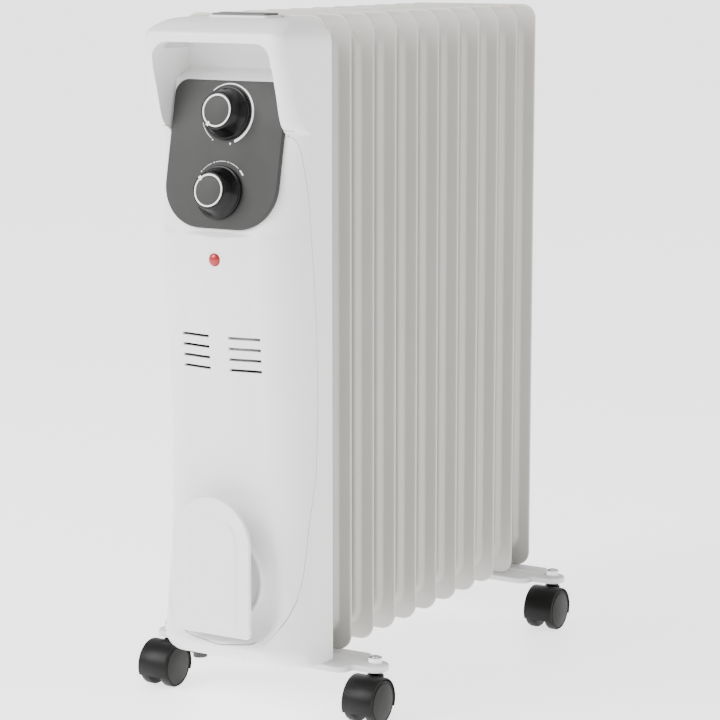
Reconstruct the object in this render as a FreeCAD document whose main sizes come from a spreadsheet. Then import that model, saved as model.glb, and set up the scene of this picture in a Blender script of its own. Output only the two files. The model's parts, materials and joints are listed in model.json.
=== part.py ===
"""Oil filled column radiator heater on four twin-wheel casters, in millimetres.

The row frame has +Z up, X across the fins and Y from the control end (-Y) to the far end (+Y), with
the origin on the floor under the middle of the box. Every sub-part is drawn with the first fin's
plane at Y = 0 and is then moved by row_y.
"""
import FreeCAD, Part
import math
import operator
import os

import Sketcher
from FreeCAD import Placement, Rotation, Vector

doc = FreeCAD.newDocument("oil_filled_radiator")
sheet = doc.addObject("Spreadsheet::Sheet", "Sizes")

SIZES = {
    # fins and headers
    "fin_gaps": 10, "fin_pitch": 40, "fin_width": 150, "fin_height": 580,
    "fin_corner": 15, "fin_rim": 13, "fin_sheet": 0.9, "channel_depth": 14, "channel_corner": 18,
    "channel_round": 5, "header_radius": 22, "header_wall": 1.2, "header_inset": 38, "plug_depth": 3,
    # heating elements, flange and gasket
    "element_radius": 4.25, "element_offset": 8, "element_stop": 20, "terminal_reach": 8,
    "flange_depth": 6, "flange_radius": 26, "gasket_depth": 2, "spigot_depth": 10, "loose_fit": 0.05,
    # feet and their clamps
    "foot_depth": 6.5, "foot_width": 54, "foot_bar_half": 95, "foot_bar_corner": 12, "foot_wall": 2,
    "tongue_width": 25, "clamp_radius": 2.5, "clamp_gap": 0.3, "clamp_hole": 3, "wing_nut_radius": 5,
    "wing_nut_depth": 5, "wing_span": 11, "wing_rise": 8, "wing_sheet": 2.4, "thread_run": 8,
    # casters
    "stem_half_track": 112, "stem_radius": 4, "stem_collar": 6.5, "stem_nut": 7, "nut_depth": 5,
    "caster_trail": 12, "wheel_radius": 20.5, "wheel_width": 9.5, "wheel_gap": 0.5, "wheel_dish": 2,
    "wheel_shoulder": 1.5, "wheel_rim": 4, "hub_radius": 6, "axle_radius": 3, "run_fit": 0.05,
    "hood_gap": 0.6, "hood_wall": 1.4, "web_width": 11, "hood_skirt": 12.5, "collar_rise": 1,
    "collar_gap": 2.2, "stem_rise": 1.5, "stem_shoulder": 1.5,
    # housing
    "wall": 2.4, "skirt_gap": 0.8, "skirt_reach": 2, "housing_lift": 3, "housing_drop": 3,
    "side_slope": 0.07, "handle_front": 71, "handle_corner": 12, "roof_corner": 20,
    "grip_half": 61, "grip_back": 12, "grip_roof": 10, "lip_depth": 20, "lip_width": 13,
    # control panel
    "panel_drop": 181, "panel_front": 64, "panel_tilt": 11.6, "panel_height": 130, "panel_half": 58.5,
    "panel_depth": 4, "panel_foot_corner": 39, "panel_top_corner": 14, "shaft_hole": 4.5,
    "thermostat_rise": 101, "selector_rise": 31.5, "knob_radius": 23.5, "knob_skirt": 3,
    "knob_neck": 21.5, "knob_top": 16.5, "knob_height": 17.5, "knob_gap": 0.6, "ring_radius": 14.5,
    "ring_width": 1.6, "ring_depth": 1.2, "shaft_radius": 3, "shaft_grip": 10, "switch_half": 17,
    "switch_depth": 14, "switch_bush": 8, "seat_gap": 0.3,
    # pilot lamp, vents, grille
    "pilot_front": 67, "pilot_drop": 27, "pilot_radius": 5.8, "pilot_dome": 2.2, "pilot_flange": 7,
    "pilot_flange_depth": 1.5, "lamp_depth": 16,
    "vent_rows": 4, "vent_pitch": 9.6, "vent_height": 3, "vent_inner": 10, "vent_outer": 41,
    "vent_drop": 96, "grille_half": 28, "grille_depth": 22, "grille_setback": 4, "grille_rise": 4,
    "grille_seat": 3, "grille_slots": 6, "slot_width": 2.4, "slot_end": 4, "plinth": 2,
    # cord wrap
    "front_reach": 79, "wrap_half": 41, "wrap_base": 31, "wrap_height": 125, "wrap_depth": 4,
    "wrap_corner": 4, "emboss": 0.8, "emboss_inset": 11.5, "drum_radius": 43, "drum_wall": 2.4,
    "drum_rise": 79, "drum_front": 60, "drum_back": 40, "drum_floor": 52, "post_radius": 15,
    # parts inside the housing
    "bracket_half": 60, "bracket_sheet": 1.5, "bracket_top": 60, "screw_radius": 1.6, "screw_head": 3.4,
    "head_depth": 2.4, "screw_reach": 14, "boss_radius": 4, "screw_half": 50, "screw_low": 159,
    "screw_high": 120, "gland_x": 45, "gland_gap": 2, "gland_bore": 3.5, "gland_radius": 6.5,
    "gland_flange": 9.5, "gland_flange_depth": 3, "gland_drop": 8, "gland_rise": 12,
    "parts_rise": 145, "terminal_rise": 195, "terminal_half": 22, "terminal_height": 18,
    "terminal_depth": 12, "tip_half": 11, "tip_height": 26, "tip_depth": 13, "tip_place": -30,
    "cutout_half": 9, "cutout_height": 20, "cutout_depth": 9, "cutout_place": 30, "rib_depth": 3,
}

for row, (name, value) in enumerate(SIZES.items(), start=1):
    sheet.set(f"A{row}", name)
    sheet.set(f"B{row}", str(value))
    sheet.setAlias(f"B{row}", name)
doc.recompute()


class Size:
    """A size from the sheet, or arithmetic on such sizes: its number and its expression."""

    def __init__(self, number, text):
        self.number = float(number)
        self.text = text

    def __float__(self):
        return self.number

    def combine(self, other, sign, work, swap=False):
        other = as_size(other)
        first, second = (other, self) if swap else (self, other)
        return Size(work(first.number, second.number), f"({first.text} {sign} {second.text})")

    def __add__(self, other):
        return self.combine(other, "+", operator.add)

    def __radd__(self, other):
        return self.combine(other, "+", operator.add, swap=True)

    def __sub__(self, other):
        return self.combine(other, "-", operator.sub)

    def __rsub__(self, other):
        return self.combine(other, "-", operator.sub, swap=True)

    def __mul__(self, other):
        return self.combine(other, "*", operator.mul)

    def __rmul__(self, other):
        return self.combine(other, "*", operator.mul, swap=True)

    def __truediv__(self, other):
        return self.combine(other, "/", operator.truediv)

    def __neg__(self):
        return Size(-self.number, f"(-1 * {self.text})")


def as_size(value):
    return value if isinstance(value, Size) else Size(value, repr(float(value)))


class Sizes:
    """The sheet's cells by name."""

    def __getattr__(self, name):
        return Size(sheet.get(name), f"Sizes.{name}")


s = Sizes()
tilt = math.radians(float(s.panel_tilt))
tilt_cos = Size(math.cos(tilt), "cos(Sizes.panel_tilt * 1 deg)")
tilt_sin = Size(math.sin(tilt), "sin(Sizes.panel_tilt * 1 deg)")

fin_count = int(float(s.fin_gaps)) + 1
hood_radius = s.wheel_radius + s.hood_gap + s.hood_wall
foot_underside = s.wheel_radius + hood_radius + s.collar_rise + s.collar_gap
stem_foot = s.wheel_radius + s.stem_rise
fin_base = foot_underside + s.foot_depth
housing_base = fin_base + s.housing_lift
fin_top = fin_base + s.fin_height
half_pitch = s.fin_pitch / 2
row_y = (s.front_reach - s.fin_gaps * s.fin_pitch - half_pitch) / 2
low_header = fin_base + s.header_inset
high_header = fin_top - s.header_inset
header_bore = s.header_radius - s.header_wall
housing_half = s.fin_width / 2 + s.skirt_gap + s.wall
housing_top = fin_top - s.housing_drop
panel_foot = housing_top - s.panel_drop
panel_top = panel_foot + s.panel_height * tilt_cos
panel_back = s.panel_front - s.panel_depth / tilt_cos
bracket_face = -(half_pitch + s.bracket_sheet)
drum_z = housing_base + s.drum_rise
web_half = s.web_width / 2
gland_y = s.gland_gap + s.gland_radius - bracket_face

nodes = []


def bind(obj, prop, size):
    obj.setExpression(prop, as_size(size).text)


def move(obj, x=0, y=0, z=0):
    """Binds an object's place."""
    for letter, size in zip("xyz", (x, y, z)):
        bind(obj, f"Placement.Base.{letter}", size)


def keep(obj, label, x=0, y=0, z=0):
    """Names a finished sub-part and puts it in the row frame."""
    obj.Label = label
    move(obj, x, row_y + y, z)
    nodes.append(obj)
    return obj


def keep_on_panel(obj, label, rise):
    """Names a sub-part drawn on the control panel's axes and tilts it into place."""
    obj.Placement = Placement(Vector(), Rotation(Vector(-1, 0, 0), float(s.panel_tilt)))
    bind(obj, "Placement.Rotation.Angle", s.panel_tilt)
    obj.Label = label
    move(obj, 0, row_y - s.panel_front + rise * tilt_sin, panel_foot + rise * tilt_cos)
    nodes.append(obj)
    return obj


# Part primitives whose sizes are bound to the sheet

def box(x, y, z):
    """A box between low and high values on each axis."""
    obj = doc.addObject("Part::Box", "block")
    for prop, (low, high) in zip(("Length", "Width", "Height"), (x, y, z)):
        bind(obj, prop, as_size(high) - low)
    move(obj, x[0], y[0], z[0])
    return obj


def rod(axis, radius, start, end, x=0, y=0, z=0):
    """A cylinder along an axis between two values on it; the other two values place it."""
    obj = doc.addObject("Part::Cylinder", "rod")
    bind(obj, "Radius", radius)
    bind(obj, "Height", as_size(end) - start)
    turns = {"X": Rotation(Vector(0, 1, 0), 90), "Y": Rotation(Vector(1, 0, 0), -90), "Z": Rotation()}
    obj.Placement = Placement(Vector(), turns[axis])
    place = {"X": x, "Y": y, "Z": z}
    place[axis] = start
    move(obj, place["X"], place["Y"], place["Z"])
    return obj


def hexagon(radius, depth, axis="Z"):
    """A six-sided prism standing on the origin, for nuts."""
    obj = doc.addObject("Part::Prism", "nut_blank")
    obj.Polygon = 6
    bind(obj, "Circumradius", radius)
    bind(obj, "Height", depth)
    if axis == "Y":
        obj.Placement = Placement(Vector(), Rotation(Vector(1, 0, 0), -90))
    return obj


def join(*parts):
    obj = doc.addObject("Part::MultiFuse", "joined")
    obj.Shapes = list(parts)
    return obj


def cut(base, *tools):
    obj = doc.addObject("Part::Cut", "cut")
    obj.Base = base
    obj.Tool = tools[0] if len(tools) == 1 else join(*tools)
    return obj


def overlap(base, tool):
    obj = doc.addObject("Part::Common", "overlap")
    obj.Base = base
    obj.Tool = tool
    return obj


# PartDesign bodies whose sketches are bound to the sheet

def new_body(label):
    body = doc.addObject("PartDesign::Body", label + "_body")
    body.Label = label
    return body


def new_sketch(body, plane, offset=0):
    """A sketch on one of the body's own origin planes, moved along the plane's normal."""
    sketch = body.newObject("Sketcher::SketchObject", "outline")
    support = [part for part in body.Origin.OriginFeatures if part.Role == plane]
    sketch.AttachmentSupport = [(support[0], "")]
    sketch.MapMode = "FlatFace"
    bind(sketch, "AttachmentOffset.Base.z", offset)
    return sketch


def fix(sketch, kind, places, size):
    """Adds a dimension to a sketch and binds it."""
    index = sketch.addConstraint(Sketcher.Constraint(kind, *places, float(as_size(size))))
    bind(sketch, f"Constraints[{index}]", size)


def fix_point(sketch, shape, point, x, y):
    """Fixes a point from the sketch's origin."""
    fix(sketch, "DistanceX", (-1, 1, shape, point), x)
    fix(sketch, "DistanceY", (-1, 1, shape, point), y)


def polygon(sketch, points):
    """A closed outline of straight lines through bound points."""
    places = [Vector(float(as_size(x)), float(as_size(y)), 0) for x, y in points]
    count = len(points)
    for number in range(count):
        line = Part.LineSegment(places[number], places[(number + 1) % count])
        sketch.addGeometry(line, False)
    for number in range(count):
        follower = (number + 1) % count
        sketch.addConstraint(Sketcher.Constraint("Coincident", number, 2, follower, 1))
        fix_point(sketch, number, 1, *points[number])


def circle(sketch, radius, x=0, y=0):
    centre = Vector(float(as_size(x)), float(as_size(y)), 0)
    number = sketch.addGeometry(Part.Circle(centre, Vector(0, 0, 1), float(as_size(radius))), False)
    fix(sketch, "Radius", (number,), radius)
    fix_point(sketch, number, 3, x, y)


def rounded(sketch, half, low, high, low_radius, high_radius=None):
    """An upright rectangle centred on the sketch's vertical axis, with round corners."""
    high_radius = high_radius if high_radius is not None else low_radius
    corners = [(half - low_radius, low + low_radius, low_radius, -90),
               (half - high_radius, high - high_radius, high_radius, 0),
               (-half + high_radius, high - high_radius, high_radius, 90),
               (-half + low_radius, low + low_radius, low_radius, 180)]
    ends = []
    for x, y, radius, start in corners:
        ring = Part.Circle(Vector(float(x), float(y), 0), Vector(0, 0, 1), float(as_size(radius)))
        arc = Part.ArcOfCircle(ring, math.radians(start), math.radians(start + 90))
        number = sketch.addGeometry(arc, False)
        ends.append((number, arc.StartPoint, arc.EndPoint))
    for spot in range(4):
        arc, _, leave = ends[spot]
        follower, enter, _ = ends[(spot + 1) % 4]
        line = sketch.addGeometry(Part.LineSegment(leave, enter), False)
        sketch.addConstraint(Sketcher.Constraint("Tangent", arc, 2, line, 1))
        sketch.addConstraint(Sketcher.Constraint("Tangent", line, 2, follower, 1))
    for (number, _, _), (x, y, radius, _) in zip(ends, corners):
        fix(sketch, "Radius", (number,), radius)
        fix_point(sketch, number, 3, x, y)


def extrude(body, sketch, kind, length, both=False, reverse=False):
    """A Pad or Pocket, one way or half each way."""
    feature = body.newObject("PartDesign::" + kind, kind.lower())
    feature.Profile = sketch
    bind(feature, "Length", length)
    feature.Midplane = both
    feature.Reversed = reverse
    return feature


def spin(body, sketch, axis="V_Axis", kind="Revolution"):
    feature = body.newObject("PartDesign::" + kind, kind.lower())
    feature.Profile = sketch
    feature.ReferenceAxis = (sketch, [axis])
    feature.Angle = 360
    return feature


def pipe(body, path, section):
    feature = body.newObject("PartDesign::AdditivePipe", "pipe")
    feature.Profile = section
    feature.Spine = (path, [f"Edge{number + 1}" for number in range(len(path.Shape.Edges))])
    return feature


def u_path(sketch, half, start, bend):
    """A path up one leg, round a half circle and down the other leg."""
    left = sketch.addGeometry(Part.LineSegment(Vector(-float(half), float(start), 0),
                                               Vector(-float(half), float(bend), 0)), False)
    ring = Part.Circle(Vector(0, float(bend), 0), Vector(0, 0, 1), float(half))
    arc = sketch.addGeometry(Part.ArcOfCircle(ring, 0, math.pi), False)
    right = sketch.addGeometry(Part.LineSegment(Vector(float(half), float(bend), 0),
                                                Vector(float(half), float(start), 0)), False)
    sketch.addConstraint(Sketcher.Constraint("Coincident", left, 2, arc, 2))
    sketch.addConstraint(Sketcher.Constraint("Coincident", arc, 1, right, 1))
    fix_point(sketch, left, 1, -half, start)
    fix_point(sketch, left, 2, -half, bend)
    fix_point(sketch, arc, 3, 0, bend)
    fix(sketch, "DistanceY", (-1, 1, right, 1), bend)
    fix_point(sketch, right, 2, half, start)


# Fins

def make_fin(number):
    """One hollow fin of two pressed sheets, with a header boss at each end of its oil channel."""
    body = new_body(f"fin_{number:02d}")
    flange = new_sketch(body, "XZ_Plane")
    rounded(flange, s.fin_width / 2, fin_base, fin_top, s.fin_corner)
    extrude(body, flange, "Pad", s.fin_sheet * 2, both=True)
    channel = new_sketch(body, "XZ_Plane")
    channel_half = s.fin_width / 2 - s.fin_rim
    rounded(channel, channel_half, fin_base + s.fin_rim, fin_top - s.fin_rim, s.channel_corner)
    extrude(body, channel, "Pad", s.channel_depth, both=True)
    doc.recompute()
    body.newObject("PartDesign::Fillet", "channel_round")
    rims = [f"Edge{place + 1}" for place, edge in enumerate(body.Tip.BaseFeature.Shape.Edges)
            if abs(abs(edge.CenterOfMass.y) - float(s.channel_depth) / 2) < 0.01]
    body.Tip.Base = (body.Tip.BaseFeature, rims)
    bind(body.Tip, "Radius", s.channel_round)
    is_first = number == 0
    for height, front in ((low_header, half_pitch), (high_header, half_pitch)):
        if is_first and height is high_header:
            front = s.channel_depth / 2 + s.header_wall
        boss = new_sketch(body, "XZ_Plane", -half_pitch)
        circle(boss, s.header_radius, 0, height)
        extrude(body, boss, "Pad", half_pitch + front)
    hollow = new_sketch(body, "XZ_Plane")
    edge = s.fin_rim + s.channel_round
    rounded(hollow, s.fin_width / 2 - edge, fin_base + edge, fin_top - edge,
            s.channel_corner - s.channel_round)
    extrude(body, hollow, "Pocket", s.channel_depth - s.fin_sheet * 2, both=True)
    bore = new_sketch(body, "XZ_Plane")
    circle(bore, header_bore, 0, low_header)
    circle(bore, header_bore, 0, high_header)
    extrude(body, bore, "Pocket", s.fin_pitch, both=True)
    return keep(body, f"fin_{number:02d}", 0, s.fin_pitch * number)


for fin_number in range(fin_count):
    make_fin(fin_number)

last_end = s.fin_gaps * s.fin_pitch + half_pitch
first_face = -(s.channel_depth / 2 + s.header_wall)
keep(join(rod("Y", header_bore, first_face, first_face + s.plug_depth, z=high_header),
          rod("Y", header_bore, last_end - s.plug_depth, last_end, z=high_header),
          rod("Y", header_bore, last_end - s.plug_depth, last_end, z=low_header)), "header_plugs")

# Heating elements, gasket and flange in the mouth of the bottom header

gasket_face = -half_pitch - s.gasket_depth
flange_face = gasket_face - s.flange_depth


def make_element(label, side):
    """A U-shaped tubular element in the bottom header, its ends just proud of the flange."""
    body = new_body(label)
    height = low_header + side * s.element_offset
    path = new_sketch(body, "XY_Plane", height)
    u_path(path, s.element_offset, flange_face - s.terminal_reach,
           s.fin_gaps * s.fin_pitch - s.element_stop)
    section = new_sketch(body, "XZ_Plane", s.terminal_reach - flange_face)
    circle(section, s.element_radius, -s.element_offset, height)
    doc.recompute()
    pipe(body, path, section)
    return keep(body, label)


make_element("heating_element_low", -1)
make_element("heating_element_high", 1)

element_holes = [rod("Y", s.element_radius + s.loose_fit, flange_face - 1, 0,
                     x=side * s.element_offset, z=low_header + level * s.element_offset)
                 for side in (-1, 1) for level in (-1, 1)]
flange_blank = hexagon(s.flange_radius, s.flange_depth, axis="Y")
move(flange_blank, 0, flange_face, low_header)
spigot = rod("Y", header_bore - s.loose_fit, gasket_face, gasket_face + s.spigot_depth, z=low_header)
keep(cut(join(flange_blank, spigot), *element_holes), "element_flange")
keep(cut(rod("Y", s.header_radius, gasket_face, -half_pitch, z=low_header),
         rod("Y", header_bore, gasket_face - 1, 0, z=low_header)), "flange_gasket")

# Foot plates, U-bolts and wing nuts

clamp_half = s.header_radius + s.clamp_gap + s.clamp_radius


def make_foot(label, y):
    """A pressed foot plate across the fins, hollow below, with a tongue over each caster."""
    body = new_body(label)
    for half, width, corner in ((s.foot_bar_half, s.foot_width, s.foot_bar_corner),
                                (s.stem_half_track + s.tongue_width / 2, s.tongue_width,
                                 s.tongue_width / 2 - 0.1)):
        outline = new_sketch(body, "XY_Plane", foot_underside)
        rounded(outline, half, -width / 2, width / 2, corner)
        extrude(body, outline, "Pad", s.foot_depth)
    for half, width, corner in ((s.foot_bar_half, s.foot_width, s.foot_bar_corner),
                                (s.stem_half_track, s.tongue_width, s.foot_wall + 1)):
        recess = new_sketch(body, "XY_Plane", foot_underside)
        rounded(recess, half - s.foot_wall, s.foot_wall - width / 2, width / 2 - s.foot_wall,
                corner - s.foot_wall)
        extrude(body, recess, "Pocket", s.foot_depth - s.foot_wall, reverse=True)
    for place in (s.stem_half_track, -s.stem_half_track):
        boss = new_sketch(body, "XY_Plane", foot_underside)
        circle(boss, s.stem_collar + 1, place)
        extrude(body, boss, "Pad", s.foot_depth)
    holes = new_sketch(body, "XY_Plane", foot_underside)
    for side in (-1, 1):
        circle(holes, s.stem_radius, side * s.stem_half_track)
        circle(holes, s.clamp_hole, side * clamp_half)
    extrude(body, holes, "Pocket", s.foot_depth, reverse=True)
    return keep(body, label, 0, y)


def make_u_bolt(end, y):
    """A bent rod over the bottom header, with its ends below the foot plate."""
    body = new_body(f"u_bolt_{end}")
    path = new_sketch(body, "XZ_Plane")
    u_path(path, clamp_half, foot_underside - s.thread_run, low_header)
    section = new_sketch(body, "XY_Plane", foot_underside - s.thread_run)
    circle(section, s.clamp_radius, -clamp_half)
    doc.recompute()
    pipe(body, path, section)
    move(body, 0, y, 0)
    return body


def make_wing_nuts(y):
    """The two wing nuts that pull a foot plate up against the fins."""
    nuts = []
    plate_under = fin_base - s.foot_wall
    for side in (-1, 1):
        x = side * clamp_half
        barrel = rod("Z", s.wing_nut_radius, plate_under - s.wing_nut_depth, plate_under, x=x, y=y)
        wings = box((x - s.wing_span, x + s.wing_span), (y - s.wing_sheet / 2, y + s.wing_sheet / 2),
                    (plate_under - s.wing_rise, plate_under - s.wing_nut_depth / 2))
        bore = rod("Z", s.clamp_radius + s.loose_fit, plate_under - s.wing_rise - 1, plate_under + 1,
                   x=x, y=y)
        nuts.append(cut(join(barrel, wings), bore))
    return nuts


foot_places = {"front": half_pitch, "rear": last_end - s.fin_pitch}
for end, place in foot_places.items():
    make_foot(f"foot_{end}", place)
keep(join(*[make_u_bolt(end, place) for end, place in foot_places.items()]), "u_bolts")
keep(join(*[nut for place in foot_places.values() for nut in make_wing_nuts(place)]), "wing_nuts")

# Casters

caster_places = {"fl": (-1, "front"), "fr": (1, "front"), "rl": (-1, "rear"), "rr": (1, "rear")}
stems = []
stem_nuts = []
for side, end in caster_places.values():
    stem_x = side * s.stem_half_track
    stem_y = foot_places[end]
    nut_top = fin_base + s.nut_depth
    stems.append(join(rod("Z", s.stem_radius, stem_foot, nut_top + 1, x=stem_x, y=stem_y),
                      rod("Z", s.stem_collar, foot_underside - s.stem_shoulder, foot_underside,
                          x=stem_x, y=stem_y)))
    blank = hexagon(s.stem_nut, s.nut_depth)
    move(blank, stem_x, stem_y, fin_base)
    stem_nuts.append(cut(blank, rod("Z", s.stem_radius, fin_base - 1, nut_top + 1, x=stem_x, y=stem_y)))
keep(join(*stems), "caster_stems")
keep(join(*stem_nuts), "stem_nuts")

hood_half = web_half + s.wheel_gap + s.wheel_width


def make_hood(label, x, y):
    """The caster's hood: a web between the wheels, a thin cover over them and the stem's socket."""
    wheel_z = s.wheel_radius
    drum = rod("X", hood_radius, -hood_half, hood_half, y=-s.caster_trail, z=wheel_z)
    wells = [rod("X", hood_radius - s.hood_wall, start, end, y=-s.caster_trail, z=wheel_z)
             for start, end in ((-hood_half - 1, -web_half), (web_half, hood_half + 1))]
    socket = rod("Z", s.stem_collar, wheel_z, wheel_z + hood_radius + s.collar_rise)
    sleeve = overlap(socket, box((-web_half, web_half), (-hood_radius, hood_radius),
                                 (0, foot_underside)))
    skirt = box((-hood_half - 1, hood_half + 1), (-hood_radius * 2 - s.caster_trail, hood_radius * 2),
                (-hood_radius, s.hood_skirt))
    stem_hole = rod("Z", s.stem_radius + s.run_fit, stem_foot - 1, foot_underside)
    axle_hole = rod("X", s.axle_radius, -hood_half, hood_half, y=-s.caster_trail, z=wheel_z)
    blank = join(cut(drum, *wells), sleeve)
    return keep(cut(blank, skirt, stem_hole, axle_hole), label, x, y)


def make_wheel(label, x, y, side):
    """A caster wheel: a turned tread with rounded shoulders and a dished outer face."""
    body = new_body(label)
    profile = new_sketch(body, "XY_Plane")
    inner = side * (web_half + s.wheel_gap)
    outer = side * hood_half
    dish = side * s.wheel_dish
    bore = s.axle_radius + s.run_fit
    shoulder = s.wheel_shoulder
    rim = s.wheel_radius - s.wheel_rim
    polygon(profile, [(inner, bore), (inner, s.wheel_radius - shoulder),
                      (inner + side * shoulder, s.wheel_radius), (outer - side * shoulder, s.wheel_radius),
                      (outer, s.wheel_radius - shoulder), (outer, rim), (outer - dish, rim - s.wheel_dish),
                      (outer - dish, s.hub_radius), (outer, s.hub_radius - 1), (outer, bore)])
    spin(body, profile, "H_Axis")
    return keep(body, label, x, y - s.caster_trail, s.wheel_radius)


for corner, (side, end) in caster_places.items():
    stem_x = side * s.stem_half_track
    stem_y = foot_places[end]
    make_hood(f"caster_{corner}_hood", stem_x, stem_y)
    keep(rod("X", s.axle_radius, -hood_half, hood_half), f"caster_{corner}_axle",
         stem_x - hood_half, stem_y - s.caster_trail, s.wheel_radius)
    make_wheel(f"caster_{corner}_wheel_left", stem_x, stem_y, -1)
    make_wheel(f"caster_{corner}_wheel_right", stem_x, stem_y, 1)

# Housing: sculpted shells, lofted through rounded plan outlines


def plan_outline(height, front, radius, inset=0.0, open_back=0.0):
    """The housing's plan outline at one height: a straight back, tapered sides and round corners."""
    back_y = float(s.skirt_reach) + open_back
    front_y = inset - front
    side = float(housing_half) - inset
    slope = float(s.side_slope)
    back_half = side + slope * open_back
    half = side + slope * (front_y - float(s.skirt_reach))
    back_right = Vector(back_half, back_y, height)
    back_left = Vector(-back_half, back_y, height)
    corner = Vector(half, front_y, height)
    along = (back_right - corner).normalize()
    across = Vector(-1, 0, 0)
    half_angle = along.getAngle(across) / 2
    bend = max(radius - inset, 1.0)
    reach = bend / math.tan(half_angle)
    middle = corner + (along + across).normalize() * (bend / math.sin(half_angle) - bend)
    side_end = corner + along * reach
    front_end = corner + across * reach

    def mirrored(point):
        return Vector(-point.x, point.y, point.z)

    edges = [Part.LineSegment(back_left, back_right).toShape(),
             Part.LineSegment(back_right, side_end).toShape(),
             Part.Arc(side_end, middle, front_end).toShape(),
             Part.LineSegment(front_end, mirrored(front_end)).toShape(),
             Part.Arc(mirrored(front_end), mirrored(middle), mirrored(side_end)).toShape(),
             Part.LineSegment(mirrored(side_end), back_left).toShape()]
    return Part.Wire(edges)


# The front's reach and corner radius: over the chin by rise above the base, and over the chest by
# drop below the panel's foot.
CHIN = [(0, 46, 26), (5, 54, 30), (11, 60, 34), (18, 64.5, 36), (24, 59, 36), (32, 53, 37), (60, 50, 38),
        (137, 50, 40)]
CHEST = [(180, 55, 42), (111, 61, 44), (65, 65, 44), (27, 67, 42), (8, 65, 38)]
PANEL_CORNERS = (34, 14)


def housing_stations():
    """Heights up the housing with the front's reach and its corner radius."""
    low_corner, high_corner = PANEL_CORNERS
    front = float(panel_back)
    top_front = front - float(s.panel_height) * math.sin(tilt)
    return [*[(float(housing_base) + rise, reach, radius) for rise, reach, radius in CHIN],
            *[(float(panel_foot) - drop, reach, radius) for drop, reach, radius in CHEST],
            (float(panel_foot), front, low_corner), (float(panel_top), top_front, high_corner)]


def loft_housing(inset, open_back, base_lift):
    """The housing's body below the handle, as a solid, set in by inset."""
    stations = housing_stations()
    wires = []
    for number, (height, front, radius) in enumerate(stations):
        lift = base_lift if number == 0 else 0.0
        if number == len(stations) - 1:
            lift = -inset
            front += inset * math.tan(tilt)
        wires.append(plan_outline(height + lift, front, radius, inset, open_back))
    return Part.makeLoft(wires, True, True, False)


def side_prism(points, half):
    """A side-view outline of (y, z) points, drawn across the housing."""
    wire = Part.makePolygon([Vector(-half, y, z) for y, z in points + points[:1]])
    return Part.Face(wire).extrude(Vector(2 * half, 0, 0))


# The seam in side view, as setback from fin 0 and rise above the base or the panel's foot.
LOW_SEAM = [(66, 18), (60, 27), (54, 43), (48, 62), (42, 86), (35, 130), (28, 159), (22, 179)]
HIGH_SEAM = [(21, -159), (22, -110), (24.5, -60), (29, -8), (33.5, 27), (40, 54), (46, 70), (52, 82),
             (61, 86)]
AHEAD = -float(s.front_reach) - 20
COVER_BACK = -20
COVER_START = 60
COVER_RISE = 10
# The cover's rounded lower end in front view, as half width and rise above the base.
SCOOP = [(30, 22), (47, 31), (61, 45), (69, 64), (71, 86), (71, 140)]
SCOOP_BACK = -40


def seam_points():
    """The joint between the front cover and the rear shell in side view, from the chin upwards."""
    return [*[(-setback, float(housing_base) + rise) for setback, rise in LOW_SEAM],
            *[(-setback, float(panel_foot) + rise) for setback, rise in HIGH_SEAM]]


def cover_space(half):
    """Everything in front of the seam, between the handle's arms above it and inside the chin."""
    seam = seam_points()
    low, high = seam[0][1], seam[-1][1]
    below = side_prism([(AHEAD, low), *seam, (AHEAD, high)], half)
    grip = float(s.grip_half)
    start, top = float(panel_foot) + COVER_START, float(panel_top) + COVER_RISE
    between = side_prism([(AHEAD, start), (COVER_BACK, start), (COVER_BACK, top), (AHEAD, top)], grip)
    outline = [(x, float(housing_base) + rise) for x, rise in SCOOP]
    outline += [(-x, z) for x, z in reversed(outline)]
    face = Part.Face(Part.makePolygon([Vector(x, AHEAD, z) for x, z in outline + outline[:1]]))
    scoop = face.extrude(Vector(0, SCOOP_BACK - AHEAD, 0))
    return below.fuse(between).fuse(scoop)


# The handle and its arms in side view, as setback from the handle's front and drop below the roof.
HANDLE_SIDE = [(23, 0), (3, 8), (0, 14), (0, 30), (4, 47), (9, 64), (15, 87)]
ARM_FOOT = [(19, 6), (26, 0)]
ARM_OVERLAP = 14


def upper_block():
    """The roof, the handle's ring and its arms, before the grip space is cut."""
    top = float(housing_top)
    front = float(s.handle_front)
    arm_foot = seam_points()[-1][1] - ARM_OVERLAP
    side = side_prism([(float(s.skirt_reach), arm_foot), (float(s.skirt_reach), top),
                       *[(setback - front, top - drop) for setback, drop in HANDLE_SIDE],
                       *[(setback - front, arm_foot + rise) for setback, rise in ARM_FOOT]],
                      float(housing_half))
    plan = plan_outline(arm_foot - 1, front, float(s.handle_corner))
    plan = Part.Face(plan).extrude(Vector(0, 0, top - arm_foot + 2))
    half = float(housing_half)
    corner = float(s.roof_corner)
    low = arm_foot - 1
    rounded_top = [Part.LineSegment(Vector(-half, -200, low), Vector(half, -200, low)),
                   Part.LineSegment(Vector(half, -200, low), Vector(half, -200, top - corner)),
                   Part.Arc(Vector(half, -200, top - corner),
                            Vector(half - corner * 0.2929, -200, top - corner * 0.2929),
                            Vector(half - corner, -200, top)),
                   Part.LineSegment(Vector(half - corner, -200, top), Vector(corner - half, -200, top)),
                   Part.Arc(Vector(corner - half, -200, top),
                            Vector(corner * 0.2929 - half, -200, top - corner * 0.2929),
                            Vector(-half, -200, top - corner)),
                   Part.LineSegment(Vector(-half, -200, top - corner), Vector(-half, -200, low))]
    elevation = Part.Face(Part.Wire([edge.toShape() for edge in rounded_top]))
    return side.common(plan).common(elevation.extrude(Vector(0, 400, 0)))


GRIP_START = 40
LEDGE_RISE = 9


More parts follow.
